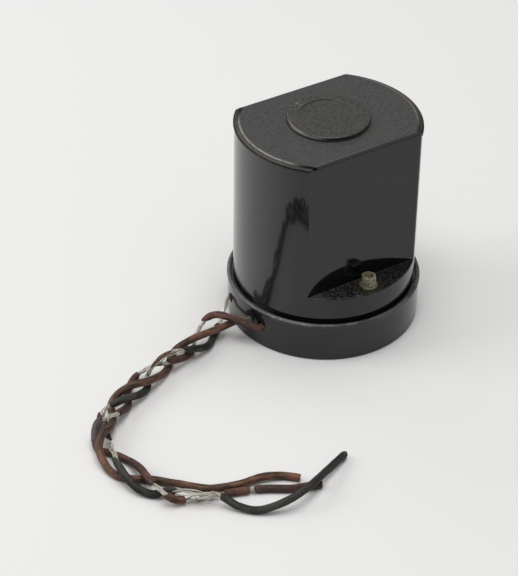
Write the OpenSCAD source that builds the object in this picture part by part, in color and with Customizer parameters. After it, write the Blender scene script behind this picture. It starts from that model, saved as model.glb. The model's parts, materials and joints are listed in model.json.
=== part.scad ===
// Bench demagnetizer for watch work: a mains electromagnet in a moulded two-piece case.
// +Z is up and z = 0 is the face that it stands on. +X runs along the two flats of the
// housing, -Y is the front, and the three flexible cores leave the base on the -X side.

/* [Housing] */
// Diameter of the round part of the housing
housing_d = 85; // [80:1:102]
// Distance between the front and the rear flat
flat_to_flat = 60.6; // [50:0.2:62]
// Height of the round band below the two ledges
band_h = 10.8; // [9:0.2:16]
// Height of the flat-sided body above the ledges
body_h = 69.3; // [50:0.1:90]
// Thickness of the side walls
wall_t = 3.5; // [2.5:0.1:4.5]
// Thickness of the top
top_t = 4; // [3:0.1:6]
// Thickness of the ledges
ledge_t = 4; // [3:0.1:6]
// Radius of the rounded edge along each flat's top
flat_round = 1.8; // [0.5:0.1:3]
// Width of the band that slopes from the top face down to the lip, along the round sides
slope_w = 2.9; // [2:0.1:4]
// Height that the sloping band falls
slope_h = 1.1; // [0.5:0.1:2]
// Radius of the ridge between the top face and the sloping band
ridge_round = 2; // [0.5:0.1:3]
// How far the lip stands out past the round sides
lip_out = 0.45; // [0.1:0.05:0.8]
// Height of the lip's upright face
lip_h = 0.9; // [0.8:0.1:2]
// Radius of the lip's upper edge
lip_round = 0.5; // [0.2:0.1:0.5]
// Radius of every small moulded edge
edge_round = 0.8; // [0.3:0.1:1.2]

/* [Raised disc on top] */
// Diameter of the raised disc that a watch is laid on
disc_d = 37.8; // [24:0.2:48]
// Height of the raised disc
disc_h = 2.1; // [1:0.1:4]
// Width of the flat border round the disc's shallow centre
disc_border = 5; // [3:0.1:8]
// Depth of the disc's shallow centre
disc_recess = 0.3; // [0.1:0.1:0.8]

/* [Base] */
// How far the base stands out past the housing all round
rim_overhang = 2.5; // [1.5:0.1:5]
// Height of the base's rim
base_h = 20; // [17:0.5:30]
// Height of the open groove between the rim and the housing
groove_h = 1.9; // [0.5:0.1:3]
// Thickness of the base's wall
base_wall_t = 3.5; // [2.5:0.1:4]
// Thickness of the base's floor
floor_t = 4; // [3:0.1:5]
// Radius of the half-round bead along the rim
bead_round = 1.1; // [0.8:0.1:1.3]
// How far the bead stands out past the base's wall
bead_out = 0.45; // [0.1:0.05:0.8]
// Depth of the rebate between the bead and the housing
rebate_h = 1.5; // [1.3:0.1:3]
// Diameter of the shallow recess underneath
foot_recess_d = 60; // [30:1:62]
// Depth of the recess underneath
foot_recess_h = 1; // [0.3:0.1:1.5]
// How far the housing's spigot reaches down inside the rim
spigot_h = 5; // [2:0.1:6]
// Gap between the spigot and the base's wall
spigot_clear = 0.3; // [0.1:0.05:0.6]

/* [Case screws] */
// Diameter of the two case screws
screw_d = 3.6; // [3:0.1:4.5]
// Diameter of a case screw's countersunk head
screw_head_d = 7; // [6:0.1:8]
// Depth of the head below the underside of the base
head_sink = 0.3; // [0.1:0.1:1]
// Diameter of the moulded boss round each case screw
boss_d = 9; // [8:0.1:10]
// Size across the flats of a nut
nut_af = 6.3; // [5.5:0.1:8]
// Height of a nut
nut_h = 4.7; // [3:0.1:6]
// Depth of the screw's end below the top of its nut
screw_short = 0.8; // [0.2:0.1:1.5]
// Diameter of the washer under each nut
washer_d = 8.4; // [7.5:0.1:10]
// Thickness of the washer under each nut
washer_t = 0.8; // [0.5:0.1:1.5]
// Gap between a screw's thread and its nut
thread_clear = 0.05; // [0.02:0.01:0.1]
// Gap between a screw and a plain hole
hole_clear = 0.2; // [0.1:0.05:0.4]

/* [Core] */
// Thickness of the stack of laminations
stack_t = 22; // [14:1:26]
// Pitch of the laminations, with their varnish
sheet_pitch = 0.5; // [0.5:0.1:1]
// Thickness of the varnish between two laminations
varnish_t = 0.04; // [0.02:0.01:0.1]
// Width of each outer limb of the core
limb_w = 11; // [8:0.5:12]
// Height of the yoke that joins the limbs
yoke_h = 14; // [10:0.5:18]
// Height of the pillars that carry the core
pillar_h = 15; // [13:0.5:18]
// Diameter of the pillars
pillar_d = 9; // [7:0.5:10]
// Distance from the core's corners to the housing
core_clear = 5.2; // [3:0.1:8]
// Thickness of the pad between the poles and the top
pad_t = 1; // [0.5:0.1:2]
// Thickness of the sheet steel clamps
clamp_t = 1.6; // [1:0.1:2.5]
// How far a clamp's foot reaches out from its leg
foot_w = 10; // [9:0.1:10.5]
// Diameter of the core bolts and the clamp screws
bolt_d = 3.6; // [3:0.1:4]

/* [Coil] */
// Thickness of the bobbin's walls
bobbin_t = 1.2; // [0.8:0.1:2]
// Thickness of the bobbin's cheeks
cheek_t = 2; // [1:0.1:3]
// Gap between the bobbin and the core
bobbin_clear = 0.3; // [0.2:0.1:0.5]
// How far the poles stand out of the bobbin
pole_h = 3; // [1:0.5:6]
// Thickness of the tape wrapped round the winding
wrap_t = 0.5; // [0.3:0.1:1]
// Gap left between the coil and the core's outer limbs
coil_gap = 0.8; // [0.5:0.1:2]
// Room kept between the coil and each flat for the leads
lead_room = 5.5; // [4.5:0.1:7]
// Diameter of the coil's sleeved leads
lead_d = 2; // [1.4:0.1:2.4]

/* [Terminals] */
// Diameter of the brass terminal tubes
tube_d = 4.6; // [4:0.1:5]
// Bore of the brass terminal tubes
tube_bore = 2.8; // [2.2:0.1:3.2]
// Diameter of the terminal screws
terminal_screw_d = 2.4; // [2:0.1:2.6]
// Diameter of the two screws that hold the block down
block_screw_d = 2.4; // [2:0.1:2.6]
// Thickness of the block between a tube and a screw
way_wall = 0.5; // [0.4:0.1:1]
// Thickness of the block beyond its outer tubes
end_wall = 2.2; // [1:0.1:3]
// Length of the block along a core
block_l = 9; // [8:0.5:10]
// Height of the terminal block
block_h = 11; // [10.5:0.1:13]
// Height of the tubes above the block's foot
way_h = 6; // [5:0.1:7]

/* [Flexible cores] */
// Diameter of each rubber-covered core
cord_d = 3.4; // [3:0.1:3.6]
// Diameter of the holes that the cores leave by
cord_hole_d = 4.6; // [4.4:0.1:5.5]
// Height of the holes above the table
cord_hole_z = 11; // [10:0.5:12]
// Direction of the brown core's hole round the base
brown_angle = 187; // [183:1:188]
// Direction of the red core's hole round the base
red_angle = 197; // [196:1:200]
// Direction of the grey core's hole round the base
grey_angle = 163; // [160:1:166]

/* [Hidden] */
$fn = 96;
// A cut runs this far past the face that it opens.
past = 1;

bakelite = "#17171a";
tarnished_brass = "#8f8a68";
iron = "#55565a";
steel = "#8a8c90";
copper = "#8c4a2a";
tape = "#b89b62";
pressboard = "#9a8a6a";
moulded_brown = "#4a3020";

// Case: plan sizes
housing_r = housing_d / 2;
flat_y = flat_to_flat / 2;
inner_r = housing_r - wall_t;
inner_flat = flat_y - wall_t;
base_r = housing_r + rim_overhang;
base_inner_r = base_r - base_wall_t;
spigot_r = base_inner_r - spigot_clear;
screw_y = (flat_y + housing_r) / 2;
disc_r = disc_d / 2;
lip_r = housing_r + lip_out;
bead_x = base_r + bead_out - bead_round;
rebate_r = bead_x - bead_round;

// Case: heights
shoulder_z = base_h + groove_h;
spigot_z = shoulder_z - spigot_h - groove_h;
ledge_z = shoulder_z + band_h;
top_z = ledge_z + body_h;
cavity_top_z = top_z - top_t;
rebate_z = base_h - rebate_h;
bead_z = base_h - bead_round;
washer_z = ledge_z;
nut_z = washer_z + washer_t;
screw_end_z = nut_z + nut_h - screw_short;

// Core: the laminations fill the housing up to core_clear from its wall
core_half_w = sqrt(pow(inner_r - core_clear, 2) - pow(stack_t / 2, 2));
core_z = floor_t + pillar_h;
core_top_z = cavity_top_z - pad_t;
core_h = core_top_z - core_z;
pole_half_w = limb_w;
window_w = core_half_w - limb_w - pole_half_w;
sheets = floor(stack_t / sheet_pitch);
stack_half = sheets * sheet_pitch / 2;
bolt_x = core_half_w - limb_w / 2;
low_bolt_z = core_z + yoke_h / 2;
high_bolt_z = core_top_z - limb_w / 2;
bolt_head_h = bolt_d * 0.7;
bolt_nut_h = bolt_d * 0.8;
pillar_x = 16;
pillar_y = stack_half + clamp_t + foot_w / 2 + 0.4;

// Coil: it fills the core's window, or the room up to the flats if that is less
coil_room = min(window_w, inner_flat - stack_half - lead_room);
tube_in = [pole_half_w + bobbin_clear, stack_half + bobbin_clear];
tube_out = [tube_in.x + bobbin_t, tube_in.y + bobbin_t];
winding_t = coil_room - bobbin_clear - bobbin_t - wrap_t - coil_gap;
winding_out = [tube_out.x + winding_t, tube_out.y + winding_t];
wrap_out = [winding_out.x + wrap_t, winding_out.y + wrap_t];
bobbin_z = core_z + yoke_h + bobbin_clear;
bobbin_top_z = core_top_z - pole_h;
winding_z = bobbin_z + cheek_t;
winding_h = bobbin_top_z - bobbin_z - 2 * cheek_t;

// Terminals: the block stands on the floor, inside of the cord holes
block_x = 11 - base_inner_r;
block_y = -1;
way_pitch = tube_d + 2 * thread_clear + block_screw_d + 2 * hole_clear + 2 * way_wall;
block_w = 2 * way_pitch + tube_d + 2 * end_wall;
ways = [for (i = [-1:1]) block_y + i * way_pitch];
way_z = floor_t + way_h;
block_screw_y = [for (i = [-0.5, 0.5]) block_y + i * way_pitch];
block_screw_x = block_x + block_l / 2;
block_screw_head_z = floor_t + block_h - 3;
block_screw_end_z = foot_recess_h + 0.7;
terminal_screw_x = [for (i = [0.24, 0.76]) block_x + i * block_l];
terminal_head_z = way_z + tube_d / 2 + 0.4;

// Routes of the three cores. Each starts at its terminal, leaves by its hole in the base's
// wall and then lies on the table, twisted loosely round the other two.
brown_route = [
    [-30.5, -1, 10], [-33, -1, 10], [-40, -5, 11], [-45.5, -5.5, 11], [-48.5, -2, 9.5],
    [-56, 0, 7], [-65, 0.5, 6.5], [-73, 0.5, 6], [-80.5, 0.5, 3.5], [-85, -2.5, 2.5], [-91, -8.5, 1.8],
    [-103, -15.5, 6], [-113.5, -15.5, 7], [-120, -15, 4.5], [-124.5, -17, 1.8],
    [-127.5, -24, 1.8], [-134, -33.5, 5.5], [-141, -39, 7.5], [-145, -43.5, 6],
    [-146.5, -48.5, 4], [-146.5, -55.5, 1.8], [-144.5, -61.5, 1.8], [-140.5, -65.5, 1.8],
    [-134.5, -69.5, 1.8], [-127, -77, 1.8], [-117, -87, 1.8], [-112, -89.5, 1.8],
    [-103.5, -92, 1.8], [-92.5, -94, 2.5], [-85, -97, 1.8], [-79.5, -102, 1.8]
];
red_route = [
    [-30.5, -9.5, 10], [-33, -9.5, 10], [-38.5, -12, 11], [-44, -13.5, 11], [-48, -9.5, 11.5],
    [-52, -3, 12.5], [-56, 4.5, 11.5], [-59, 8, 8.5], [-65.5, 6.5, 4], [-72, 0, 1.8],
    [-78, -6, 3.5], [-88.5, -8.5, 6], [-98, -6, 5], [-105.5, -6.5, 3], [-114, -13, 1.8],
    [-118, -21, 1.8], [-126.5, -28, 6], [-134.5, -31.5, 9], [-139.5, -32.5, 9],
    [-143, -36, 5], [-144, -41.5, 1.8], [-141, -45, 1.8], [-136.5, -54, 1.8],
    [-136.5, -63.5, 5], [-137.5, -75, 6.5], [-136.5, -83.5, 6], [-133, -87.5, 3.5],
    [-128.5, -88.5, 1.8], [-122.5, -90.5, 1.8], [-114.5, -93, 1.8], [-103, -97, 1.8],
    [-96, -100, 1.8], [-86, -106, 1.8], [-78.5, -108.5, 1.8], [-74, -110.5, 1.8]
];
grey_route = [
    [-30.5, 7.5, 10], [-33, 7.5, 10], [-39, 12, 11], [-44, 13.5, 11], [-46.5, 12.5, 8],
    [-50.5, 9.5, 4.5], [-58, 3.5, 1.8], [-66, -3.5, 2.5], [-77.5, -6.5, 7],
    [-89.5, -7.5, 10], [-97.5, -9, 8], [-102, -10, 4], [-104, -14, 1.8], [-111, -19.5, 4],
    [-121.5, -22, 7], [-131, -22.5, 5], [-133.5, -25.5, 2.5], [-136.5, -35, 1.8],
    [-141, -48, 6.5], [-144, -58, 7], [-144, -67, 4.5], [-142, -73.5, 2.5],
    [-138.5, -78, 1.8], [-133, -81, 3.5], [-127.5, -88, 5.5], [-123.5, -92.5, 5.5],
    [-117, -97, 5.5], [-112, -104, 2.5], [-106.5, -109.5, 1.8], [-100, -113, 3.5],
    [-92, -115, 6], [-82.5, -113.5, 7], [-68, -106, 4], [-55, -99.5, 1.8]
];

// The leads leave the front of the coil, drop inside the flat, pass the clamp's foot and run
// under the core into the inner ends of the terminal tubes.
lead_x = [-7, -3.5, 0];
lead_z = winding_z + 8;
foot_y = -(stack_half + clamp_t + foot_w + 0.4 + lead_d / 2);
drop_y = -min(-foot_y, inner_flat - 0.8 - lead_d / 2);
lead_end_x = terminal_screw_x[1] + terminal_screw_d / 2 + 0.1;
function lead_route(i) = [
    [lead_x[i], -wrap_out.y, lead_z],
    [lead_x[i], -wrap_out.y - 1.2, lead_z],
    [lead_x[i], drop_y + 1, lead_z - 0.8],
    [lead_x[i], drop_y, lead_z - 3],
    [lead_x[i], drop_y, ledge_z - ledge_t - 2],
    [lead_x[i], foot_y, core_z + clamp_t + 2],
    [lead_x[i], foot_y, core_z - 3],
    [lead_x[i], foot_y + 3, way_z + 2],
    [lead_x[i] - 1, foot_y + 8, way_z],
    [lead_x[i] - 4, (foot_y + ways[i]) / 2 + 3, way_z],
    [lead_x[i] - 8, ways[i] - 1, way_z],
    [block_x + block_l + 3, ways[i], way_z],
    [lead_end_x, ways[i], way_z]
];

// ---------- helpers ----------

function unit(v) = v / norm(v);

// Direction of the route at each of its points
function headings(p) = [
    for (i = [0:len(p) - 1]) unit(p[min(i + 1, len(p) - 1)] - p[max(i - 1, 0)])
];

// A sideways direction at each point, carried along the route without twisting
function sideways(t, i, n, found) =
    i == len(t) ? found
    : let (m = unit(n - (n * t[i]) * t[i])) sideways(t, i + 1, m, concat(found, [m]));

// A solid tube of diameter d that follows the points of a route, one ring at each point
module swept_tube(route, d, sides = 8) {
    t = headings(route);
    start = abs(t[0].z) < 0.9 ? [0, 0, 1] : [1, 0, 0];
    u = sideways(t, 0, start, []);
    rings = [
        for (i = [0:len(route) - 1]) let (v = cross(t[i], u[i]))
            for (k = [0:sides - 1]) let (a = 360 * k / sides)
                route[i] + d / 2 * (cos(a) * u[i] + sin(a) * v)
    ];
    last = len(route) - 1;
    walls = [
        for (i = [0:last - 1], k = [0:sides - 1])
            let (a = i * sides + k, b = i * sides + (k + 1) % sides)
                each [[b + sides, b, a], [a + sides, b + sides, a]]
    ];
    ends = [
        [for (k = [0:sides - 1]) k],
        [for (k = [sides - 1:-1:0]) last * sides + k]
    ];
    polyhedron(points = rings, faces = concat(walls, ends));
}

// A rectangle with half sizes h whose corners have radius r
module rounded_plate(h, r) {
    square([2 * h.x, 2 * (h.y - r)], center = true);
    square([2 * (h.x - r), 2 * h.y], center = true);
    for (x = [-1, 1], y = [-1, 1])
        translate([x * (h.x - r), y * (h.y - r)]) circle(r);
}

// Points along an arc, from one angle to another, both measured from the vertical
function arc(centre, r, first, last, steps = 4) = [
    for (i = [0:steps]) let (a = first + (last - first) * i / steps)
        centre + r * [sin(a), cos(a)]
];

// Profile of a turned body, from the axis out to r and from z0 to z1, its top outer edge
// rounded by r_top and its bottom outer edge by r_low
module turned_profile(r, z0, z1, r_top, r_low) {
    big = max(r_top, r_low, 0.01);
    translate([0, z0]) square([r - big, z1 - z0]);
    translate([0, z0 + r_low]) square([r, z1 - z0 - r_top - r_low]);
    if (r_top > 0) {
        translate([0, z0 + big]) square([r - r_top, z1 - z0 - big]);
        intersection() {
            translate([r - r_top, z1 - r_top]) circle(r_top);
            translate([0, z0]) square([r, z1 - z0]);
        }
    }
    if (r_low > 0) {
        translate([0, z0]) square([r - r_low, z1 - z0 - big]);
        intersection() {
            translate([r - r_low, z0 + r_low]) circle(r_low);
            translate([0, z0]) square([r, z1 - z0]);
        }
    }
}

module turned(r, z0, z1, r_top, r_low = 0) {
    rotate_extrude() turned_profile(r, z0, z1, r_top, r_low);
}

// Both places where a case screw stands
module at_screws() {
    for (y = [-screw_y, screw_y]) translate([0, y, 0]) children();
}

// The four pillars that carry the core
module at_pillars() {
    for (x = [-pillar_x, pillar_x], y = [-pillar_y, pillar_y])
        translate([x, y, 0]) children();
}

// The four bolts through the laminations, looking along +Y from the front
module at_bolts() {
    for (x = [-bolt_x, bolt_x], z = [low_bolt_z, high_bolt_z])
        translate([x, 0, z]) children();
}

// A hexagon bar of size af across its flats, standing on z = 0
module hexagon(af, h) {
    cylinder(h = h, r = af / 2 / cos(30), $fn = 6);
}

// A nut with a chamfered top and a plain bore, standing on z = 0
module nut(af, h, bore_r) {
    corner_r = af / 2 / cos(30);
    chamfer_h = corner_r - af / 2;
    difference() {
        intersection() {
            hexagon(af, h);
            union() {
                cylinder(h = h - chamfer_h, r = corner_r + past);
                translate([0, 0, h - chamfer_h])
                    cylinder(h = chamfer_h, r1 = corner_r, r2 = af / 2 - chamfer_h);
            }
        }
        translate([0, 0, -past]) cylinder(h = h + 2 * past, r = bore_r);
    }
}

// ---------- case ----------

// A boss round a case screw, grown by gap, with a web that joins it to the base's wall
module screw_boss(z0, z1, gap = 0) {
    r = boss_d / 2 + gap;
    at_screws() translate([0, 0, z0]) cylinder(h = z1 - z0, r = r);
    for (side = [-1, 1]) translate([-r, min(side * screw_y, side * (base_r - 1)), z0])
        cube([2 * r, base_r - 1 - screw_y, z1 - z0]);
}

// Seat of a case screw's countersunk head, open to the underside
module screw_seat() {
    screw_head();
    translate([0, 0, -past]) cylinder(h = head_sink + past, r = screw_head_d / 2 + hole_clear);
}

// Profile of the base before it is hollowed: its wall ends in a half-round bead that stands
// out past it, and inside the bead there is a rebate
module base_profile() {
    turned_profile(base_r, 0, rebate_z, 0, edge_round);
    translate([rebate_r, rebate_z - past]) square([base_r - rebate_r, bead_z - rebate_z + past]);
    translate([bead_x, bead_z]) circle(bead_round);
}

module base() {
    color(bakelite) difference() {
        union() {
            difference() {
                rotate_extrude() base_profile();
                translate([0, 0, floor_t]) cylinder(h = base_h, r = base_inner_r);
            }
            intersection() {
                screw_boss(floor_t - 1, base_h);
                union() {
                    cylinder(h = rebate_z, r = base_inner_r + 0.5);
                    cylinder(h = base_h, r = spigot_r);
                }
            }
            at_pillars() translate([0, 0, floor_t - 1])
                cylinder(h = core_z - floor_t + 1, d = pillar_d);
        }
        translate([0, 0, -past])
            cylinder(h = foot_recess_h + past, d = foot_recess_d);
        at_screws() translate([0, 0, -past])
            cylinder(h = base_h + 2 * past, r = screw_d / 2 + hole_clear);
        at_screws() screw_seat();
        at_pillars() translate([0, 0, core_z - 8])
            cylinder(h = 8 + past, r = bolt_d / 2 + thread_clear);
        for (y = block_screw_y) translate([block_screw_x, y, block_screw_end_z - 0.2])
            cylinder(h = floor_t, r = block_screw_d / 2 + thread_clear);
        for (a = [brown_angle, red_angle, grey_angle])
            rotate([0, 0, a]) translate([base_inner_r - past, 0, cord_hole_z])
                rotate([0, 90, 0]) cylinder(h = base_wall_t + 2 * past, d = cord_hole_d);
    }
}

// Profile of the round sides. From a ridge round the top face a band slopes down to a lip,
// which stands out past the wall and is bevelled underneath.
module body_profile() {
    fall = atan(slope_h / slope_w);
    ridge = [lip_r - slope_w - ridge_round * tan(fall / 2), top_z - ridge_round];
    lip = [lip_r - lip_round, top_z - slope_h - lip_round * tan((90 - fall) / 2)];
    lip_end_z = top_z - slope_h - lip_h;
    polygon(concat(
        [[0, shoulder_z], [housing_r, shoulder_z], [housing_r, lip_end_z - lip_out]],
        [[lip_r, lip_end_z], [lip_r, lip.y], lip + lip_round * [sin(fall), cos(fall)]],
        arc(ridge, ridge_round, fall, 0),
        [[0, top_z]]
    ));
    translate(lip) circle(lip_round);
}

// The flat-sided body: a turned body cut down to the two flats, whose top edges are rounded
module flat_sided_body() {
    intersection() {
        rotate_extrude() body_profile();
        translate([-lip_r - past, 0, 0]) rotate([90, 0, 90])
            linear_extrude(2 * (lip_r + past)) {
                translate([-flat_y, shoulder_z])
                    square([2 * flat_y, top_z - shoulder_z - flat_round]);
                translate([flat_round - flat_y, shoulder_z])
                    square([2 * (flat_y - flat_round), top_z - shoulder_z]);
                for (side = [-1, 1])
                    translate([side * (flat_y - flat_round), top_z - flat_round])
                        circle(flat_round);
            }
    }
}

// What the housing is hollow of: round below the ledges, flat-sided above them
module housing_cavity() {
    difference() {
        translate([0, 0, spigot_z - past])
            cylinder(h = cavity_top_z - spigot_z + past, r = inner_r);
        for (side = [-1, 1])
            translate([0, side * (inner_flat + housing_r / 2), ledge_z - ledge_t + body_h / 2])
                cube([3 * housing_r, housing_r, body_h], center = true);
    }
}

module housing() {
    color(bakelite) difference() {
        union() {
            difference() {
                union() {
                    flat_sided_body();
                    turned(housing_r, shoulder_z, ledge_z, edge_round);
                    translate([0, 0, spigot_z]) cylinder(h = shoulder_z - spigot_z + past, r = spigot_r);
                }
                housing_cavity();
            }
            translate([0, 0, top_z - top_t / 2])
                turned(disc_r, 0, top_t / 2 + disc_h, edge_round);
            intersection() {
                at_screws() translate([0, 0, base_h])
                    cylinder(h = ledge_z - ledge_t / 2 - base_h, d = boss_d);
                cylinder(h = top_z, r = spigot_r);
            }
        }
        translate([0, 0, top_z + disc_h - disc_recess])
            cylinder(h = past, r = disc_r - disc_border);
        at_screws() translate([0, 0, base_h - past])
            cylinder(h = ledge_z - base_h + 2 * past, r = screw_d / 2 + hole_clear);
        screw_boss(spigot_z - past, base_h, hole_clear);
    }
}

// Countersunk head of a case screw
module screw_head() {
    translate([0, 0, head_sink]) cylinder(
        h = (screw_head_d - screw_d) / 2, r1 = screw_head_d / 2, r2 = screw_d / 2
    );
}

// A case screw: countersunk head under the base, its end hidden in the nut
module case_screw() {
    chamfer = 0.4;
    color(tarnished_brass) difference() {
        union() {
            screw_head();
            translate([0, 0, head_sink])
                cylinder(h = screw_end_z - chamfer - head_sink, d = screw_d);
            translate([0, 0, screw_end_z - chamfer])
                cylinder(h = chamfer, r1 = screw_d / 2, r2 = screw_d / 2 - chamfer);
        }
        translate([-screw_head_d, -0.5, -past])
            cube([2 * screw_head_d, 1, past + head_sink + 0.8]);
    }
}

module front_case_screw() { translate([0, -screw_y, 0]) case_screw(); }
module rear_case_screw() { translate([0, screw_y, 0]) case_screw(); }

// A washer with a softly rounded outer edge
module case_washer() {
    color(tarnished_brass) translate([0, 0, washer_z]) difference() {
        turned(washer_d / 2, 0, washer_t, washer_t / 2);
        translate([0, 0, -past])
            cylinder(h = washer_t + 2 * past, r = screw_d / 2 + thread_clear);
    }
}

module front_washer() { translate([0, -screw_y, 0]) case_washer(); }
module rear_washer() { translate([0, screw_y, 0]) case_washer(); }

module case_nut() {
    color(tarnished_brass) translate([0, 0, nut_z])
        nut(nut_af, nut_h, screw_d / 2 + thread_clear);
}

module front_nut() { translate([0, -screw_y, 0]) case_nut(); }
module rear_nut() { translate([0, screw_y, 0]) case_nut(); }

// ---------- core ----------

// Outline of one E-shaped lamination, seen from the front
module lamination() {
    difference() {
        translate([-core_half_w, core_z]) square([2 * core_half_w, core_h]);
        for (side = [-1, 1])
            translate([side * (pole_half_w + window_w / 2) - window_w / 2, core_z + yoke_h])
                square([window_w, core_h]);
        for (x = [-bolt_x, bolt_x], z = [low_bolt_z, high_bolt_z])
            translate([x, z]) circle(bolt_d / 2 + hole_clear);
    }
}

module core_laminations() {
    color(iron) for (i = [0:sheets - 1])
        translate([0, -stack_half + (i + 1) * sheet_pitch - varnish_t / 2, 0])
            rotate([90, 0, 0]) linear_extrude(sheet_pitch - varnish_t) lamination();
}

// Bolts run from the front to the rear through the laminations and the clamps
module core_bolts() {
    seat = stack_half + clamp_t;
    color(steel) at_bolts() rotate([-90, 0, 0]) difference() {
        union() {
            translate([0, 0, -seat - bolt_head_h]) cylinder(h = bolt_head_h, d = 2 * bolt_d);
            translate([0, 0, -seat - 0.1])
                cylinder(h = 2 * seat + 0.1 + bolt_nut_h + 1, d = bolt_d);
        }
        translate([-bolt_d * 2, -0.5, -seat - bolt_head_h - past])
            cube([bolt_d * 4, 1, past + 1]);
    }
}

module core_nuts() {
    color(steel) at_bolts() translate([0, stack_half + clamp_t, 0])
        rotate([-90, 0, 0]) nut(bolt_d * 1.75, bolt_nut_h, bolt_d / 2 + thread_clear);
}

// Plain washers under the upper bolts' heads and nuts, where there is no clamp
module core_washers() {
    color(steel) for (x = [-bolt_x, bolt_x], side = [-1, 1])
        translate([x, side * (stack_half + clamp_t / 2), high_bolt_z])
            rotate([90, 0, 0]) difference() {
                cylinder(h = clamp_t, d = 2.4 * bolt_d, center = true);
                cylinder(h = clamp_t + past, r = bolt_d / 2 + hole_clear, center = true);
            }
}

// An angle of sheet steel on the front face of the yoke, its foot on two pillars
module core_clamp() {
    bend = 2 * clamp_t;
    color(steel) difference() {
        union() {
            translate([-core_half_w + 1, -stack_half - clamp_t, core_z + bend])
                cube([2 * core_half_w - 2, clamp_t, yoke_h - bend - 1]);
            translate([-pillar_x - pillar_d / 2, -stack_half - clamp_t - foot_w, core_z])
                cube([2 * pillar_x + pillar_d, foot_w + clamp_t - bend, clamp_t]);
            translate([-pillar_x - pillar_d / 2, -stack_half - bend, core_z + bend])
                rotate([90, 0, 90]) linear_extrude(2 * pillar_x + pillar_d) intersection() {
                    difference() {
                        circle(bend);
                        circle(bend - clamp_t);
                    }
                    translate([0, -bend]) square(bend);
                }
        }
        at_bolts() rotate([90, 0, 0])
            cylinder(h = 2 * stack_t, r = bolt_d / 2 + hole_clear);
        at_pillars() translate([0, 0, core_z - past])
            cylinder(h = clamp_t + 2 * past, r = bolt_d / 2 + hole_clear);
    }
}

module front_core_clamp() { core_clamp(); }
module rear_core_clamp() { mirror([0, 1, 0]) core_clamp(); }

// Screws that hold the clamps' feet down on the pillars
module clamp_screws() {
    seat_z = core_z + clamp_t;
    color(steel) at_pillars()
        cheese_screw(bolt_d, core_z - 7, seat_z, 1.7 * bolt_d, bolt_head_h);
}

// ---------- coil ----------

module bobbin() {
    color(moulded_brown) difference() {
        union() {
            translate([0, 0, bobbin_z])
                linear_extrude(bobbin_top_z - bobbin_z) rounded_plate(tube_out, 1);
            for (z = [bobbin_z, bobbin_top_z - cheek_t])
                translate([0, 0, z]) linear_extrude(cheek_t) rounded_plate(wrap_out, 3);
        }
        translate([0, 0, bobbin_z - past])
            linear_extrude(bobbin_top_z - bobbin_z + 2 * past)
                square(2 * tube_in, center = true);
    }
}

module winding() {
    color(copper) translate([0, 0, winding_z + 0.1])
        linear_extrude(winding_h - 0.2) difference() {
            rounded_plate(winding_out - [0.05, 0.05], 4);
            rounded_plate(tube_out + [0.05, 0.05], 1.05);
        }
}

module winding_wrap() {
    color(tape) translate([0, 0, winding_z + 0.1])
        linear_extrude(winding_h - 0.2) difference() {
            rounded_plate(wrap_out, 4 + wrap_t);
            rounded_plate(winding_out, 4);
        }
}

// Pressboard between the poles and the underside of the top
module pole_pad() {
    color(pressboard) translate([0, 0, core_top_z])
        linear_extrude(pad_t) rounded_plate([core_half_w, stack_half], 2);
}

module coil_leads() {
    color(pressboard) for (i = [0:2]) swept_tube(lead_route(i), lead_d);
}

// ---------- terminals ----------

module terminal_block() {
    color(moulded_brown) difference() {
        translate([block_x, block_y - block_w / 2, floor_t])
            cube([block_l, block_w, block_h]);
        for (y = ways) {
            translate([block_x - past, y, way_z]) rotate([0, 90, 0])
                cylinder(h = block_l + 2 * past, r = tube_d / 2 + thread_clear);
            for (x = terminal_screw_x) translate([x, y, way_z])
                cylinder(h = block_h, d = terminal_screw_d + 1.6);
        }
        for (y = block_screw_y) translate([block_screw_x, y, 0]) {
            translate([0, 0, floor_t - past])
                cylinder(h = block_h, r = block_screw_d / 2 + hole_clear);
            translate([0, 0, block_screw_head_z])
                cylinder(h = block_h, r = block_screw_d + hole_clear);
        }
    }
}

module terminal_tubes() {
    color(tarnished_brass) for (y = ways) translate([block_x, y, way_z]) difference() {
        rotate([0, 90, 0]) cylinder(h = block_l, d = tube_d);
        translate([-past, 0, 0]) rotate([0, 90, 0])
            cylinder(h = block_l + 2 * past, d = tube_bore);
        for (x = terminal_screw_x) translate([x - block_x, 0, 0])
            cylinder(h = tube_d, r = terminal_screw_d / 2 + thread_clear);
    }
}

// A slotted cheese-headed screw: shank from z0 up to z1, then a head of size d by h
module cheese_screw(shank_d, z0, z1, d, h) {
    difference() {
        union() {
            translate([0, 0, z0]) cylinder(h = z1 - z0 + h / 2, d = shank_d);
            translate([0, 0, z1]) cylinder(h = h, d = d);
        }
        translate([-d, -shank_d / 7, z1 + h * 0.6]) cube([2 * d, shank_d / 3.5, h]);
    }
}

module terminal_screws() {
    color(tarnished_brass) for (y = ways, x = terminal_screw_x) translate([x, y, 0])
        cheese_screw(terminal_screw_d, way_z, terminal_head_z, terminal_screw_d + 1.2, 1.4);
}

module block_screws() {
    color(steel) for (y = block_screw_y) translate([block_screw_x, y, 0])
        cheese_screw(block_screw_d, block_screw_end_z, block_screw_head_z, 2 * block_screw_d, 1.5);
}

// ---------- flexible cores ----------

module brown_core() { color("#6a4433") swept_tube(brown_route, cord_d); }
module red_core() { color("#6e3a36") swept_tube(red_route, cord_d); }
module grey_core() { color("#40474a") swept_tube(grey_route, cord_d); }

base();
housing();
front_case_screw();
rear_case_screw();
front_washer();
rear_washer();
front_nut();
rear_nut();
core_laminations();
core_bolts();
core_nuts();
core_washers();
front_core_clamp();
rear_core_clamp();
clamp_screws();
bobbin();
winding();
winding_wrap();
pole_pad();
coil_leads();
terminal_block();
terminal_tubes();
terminal_screws();
block_screws();
brown_core();
red_core();
grey_core();
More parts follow.
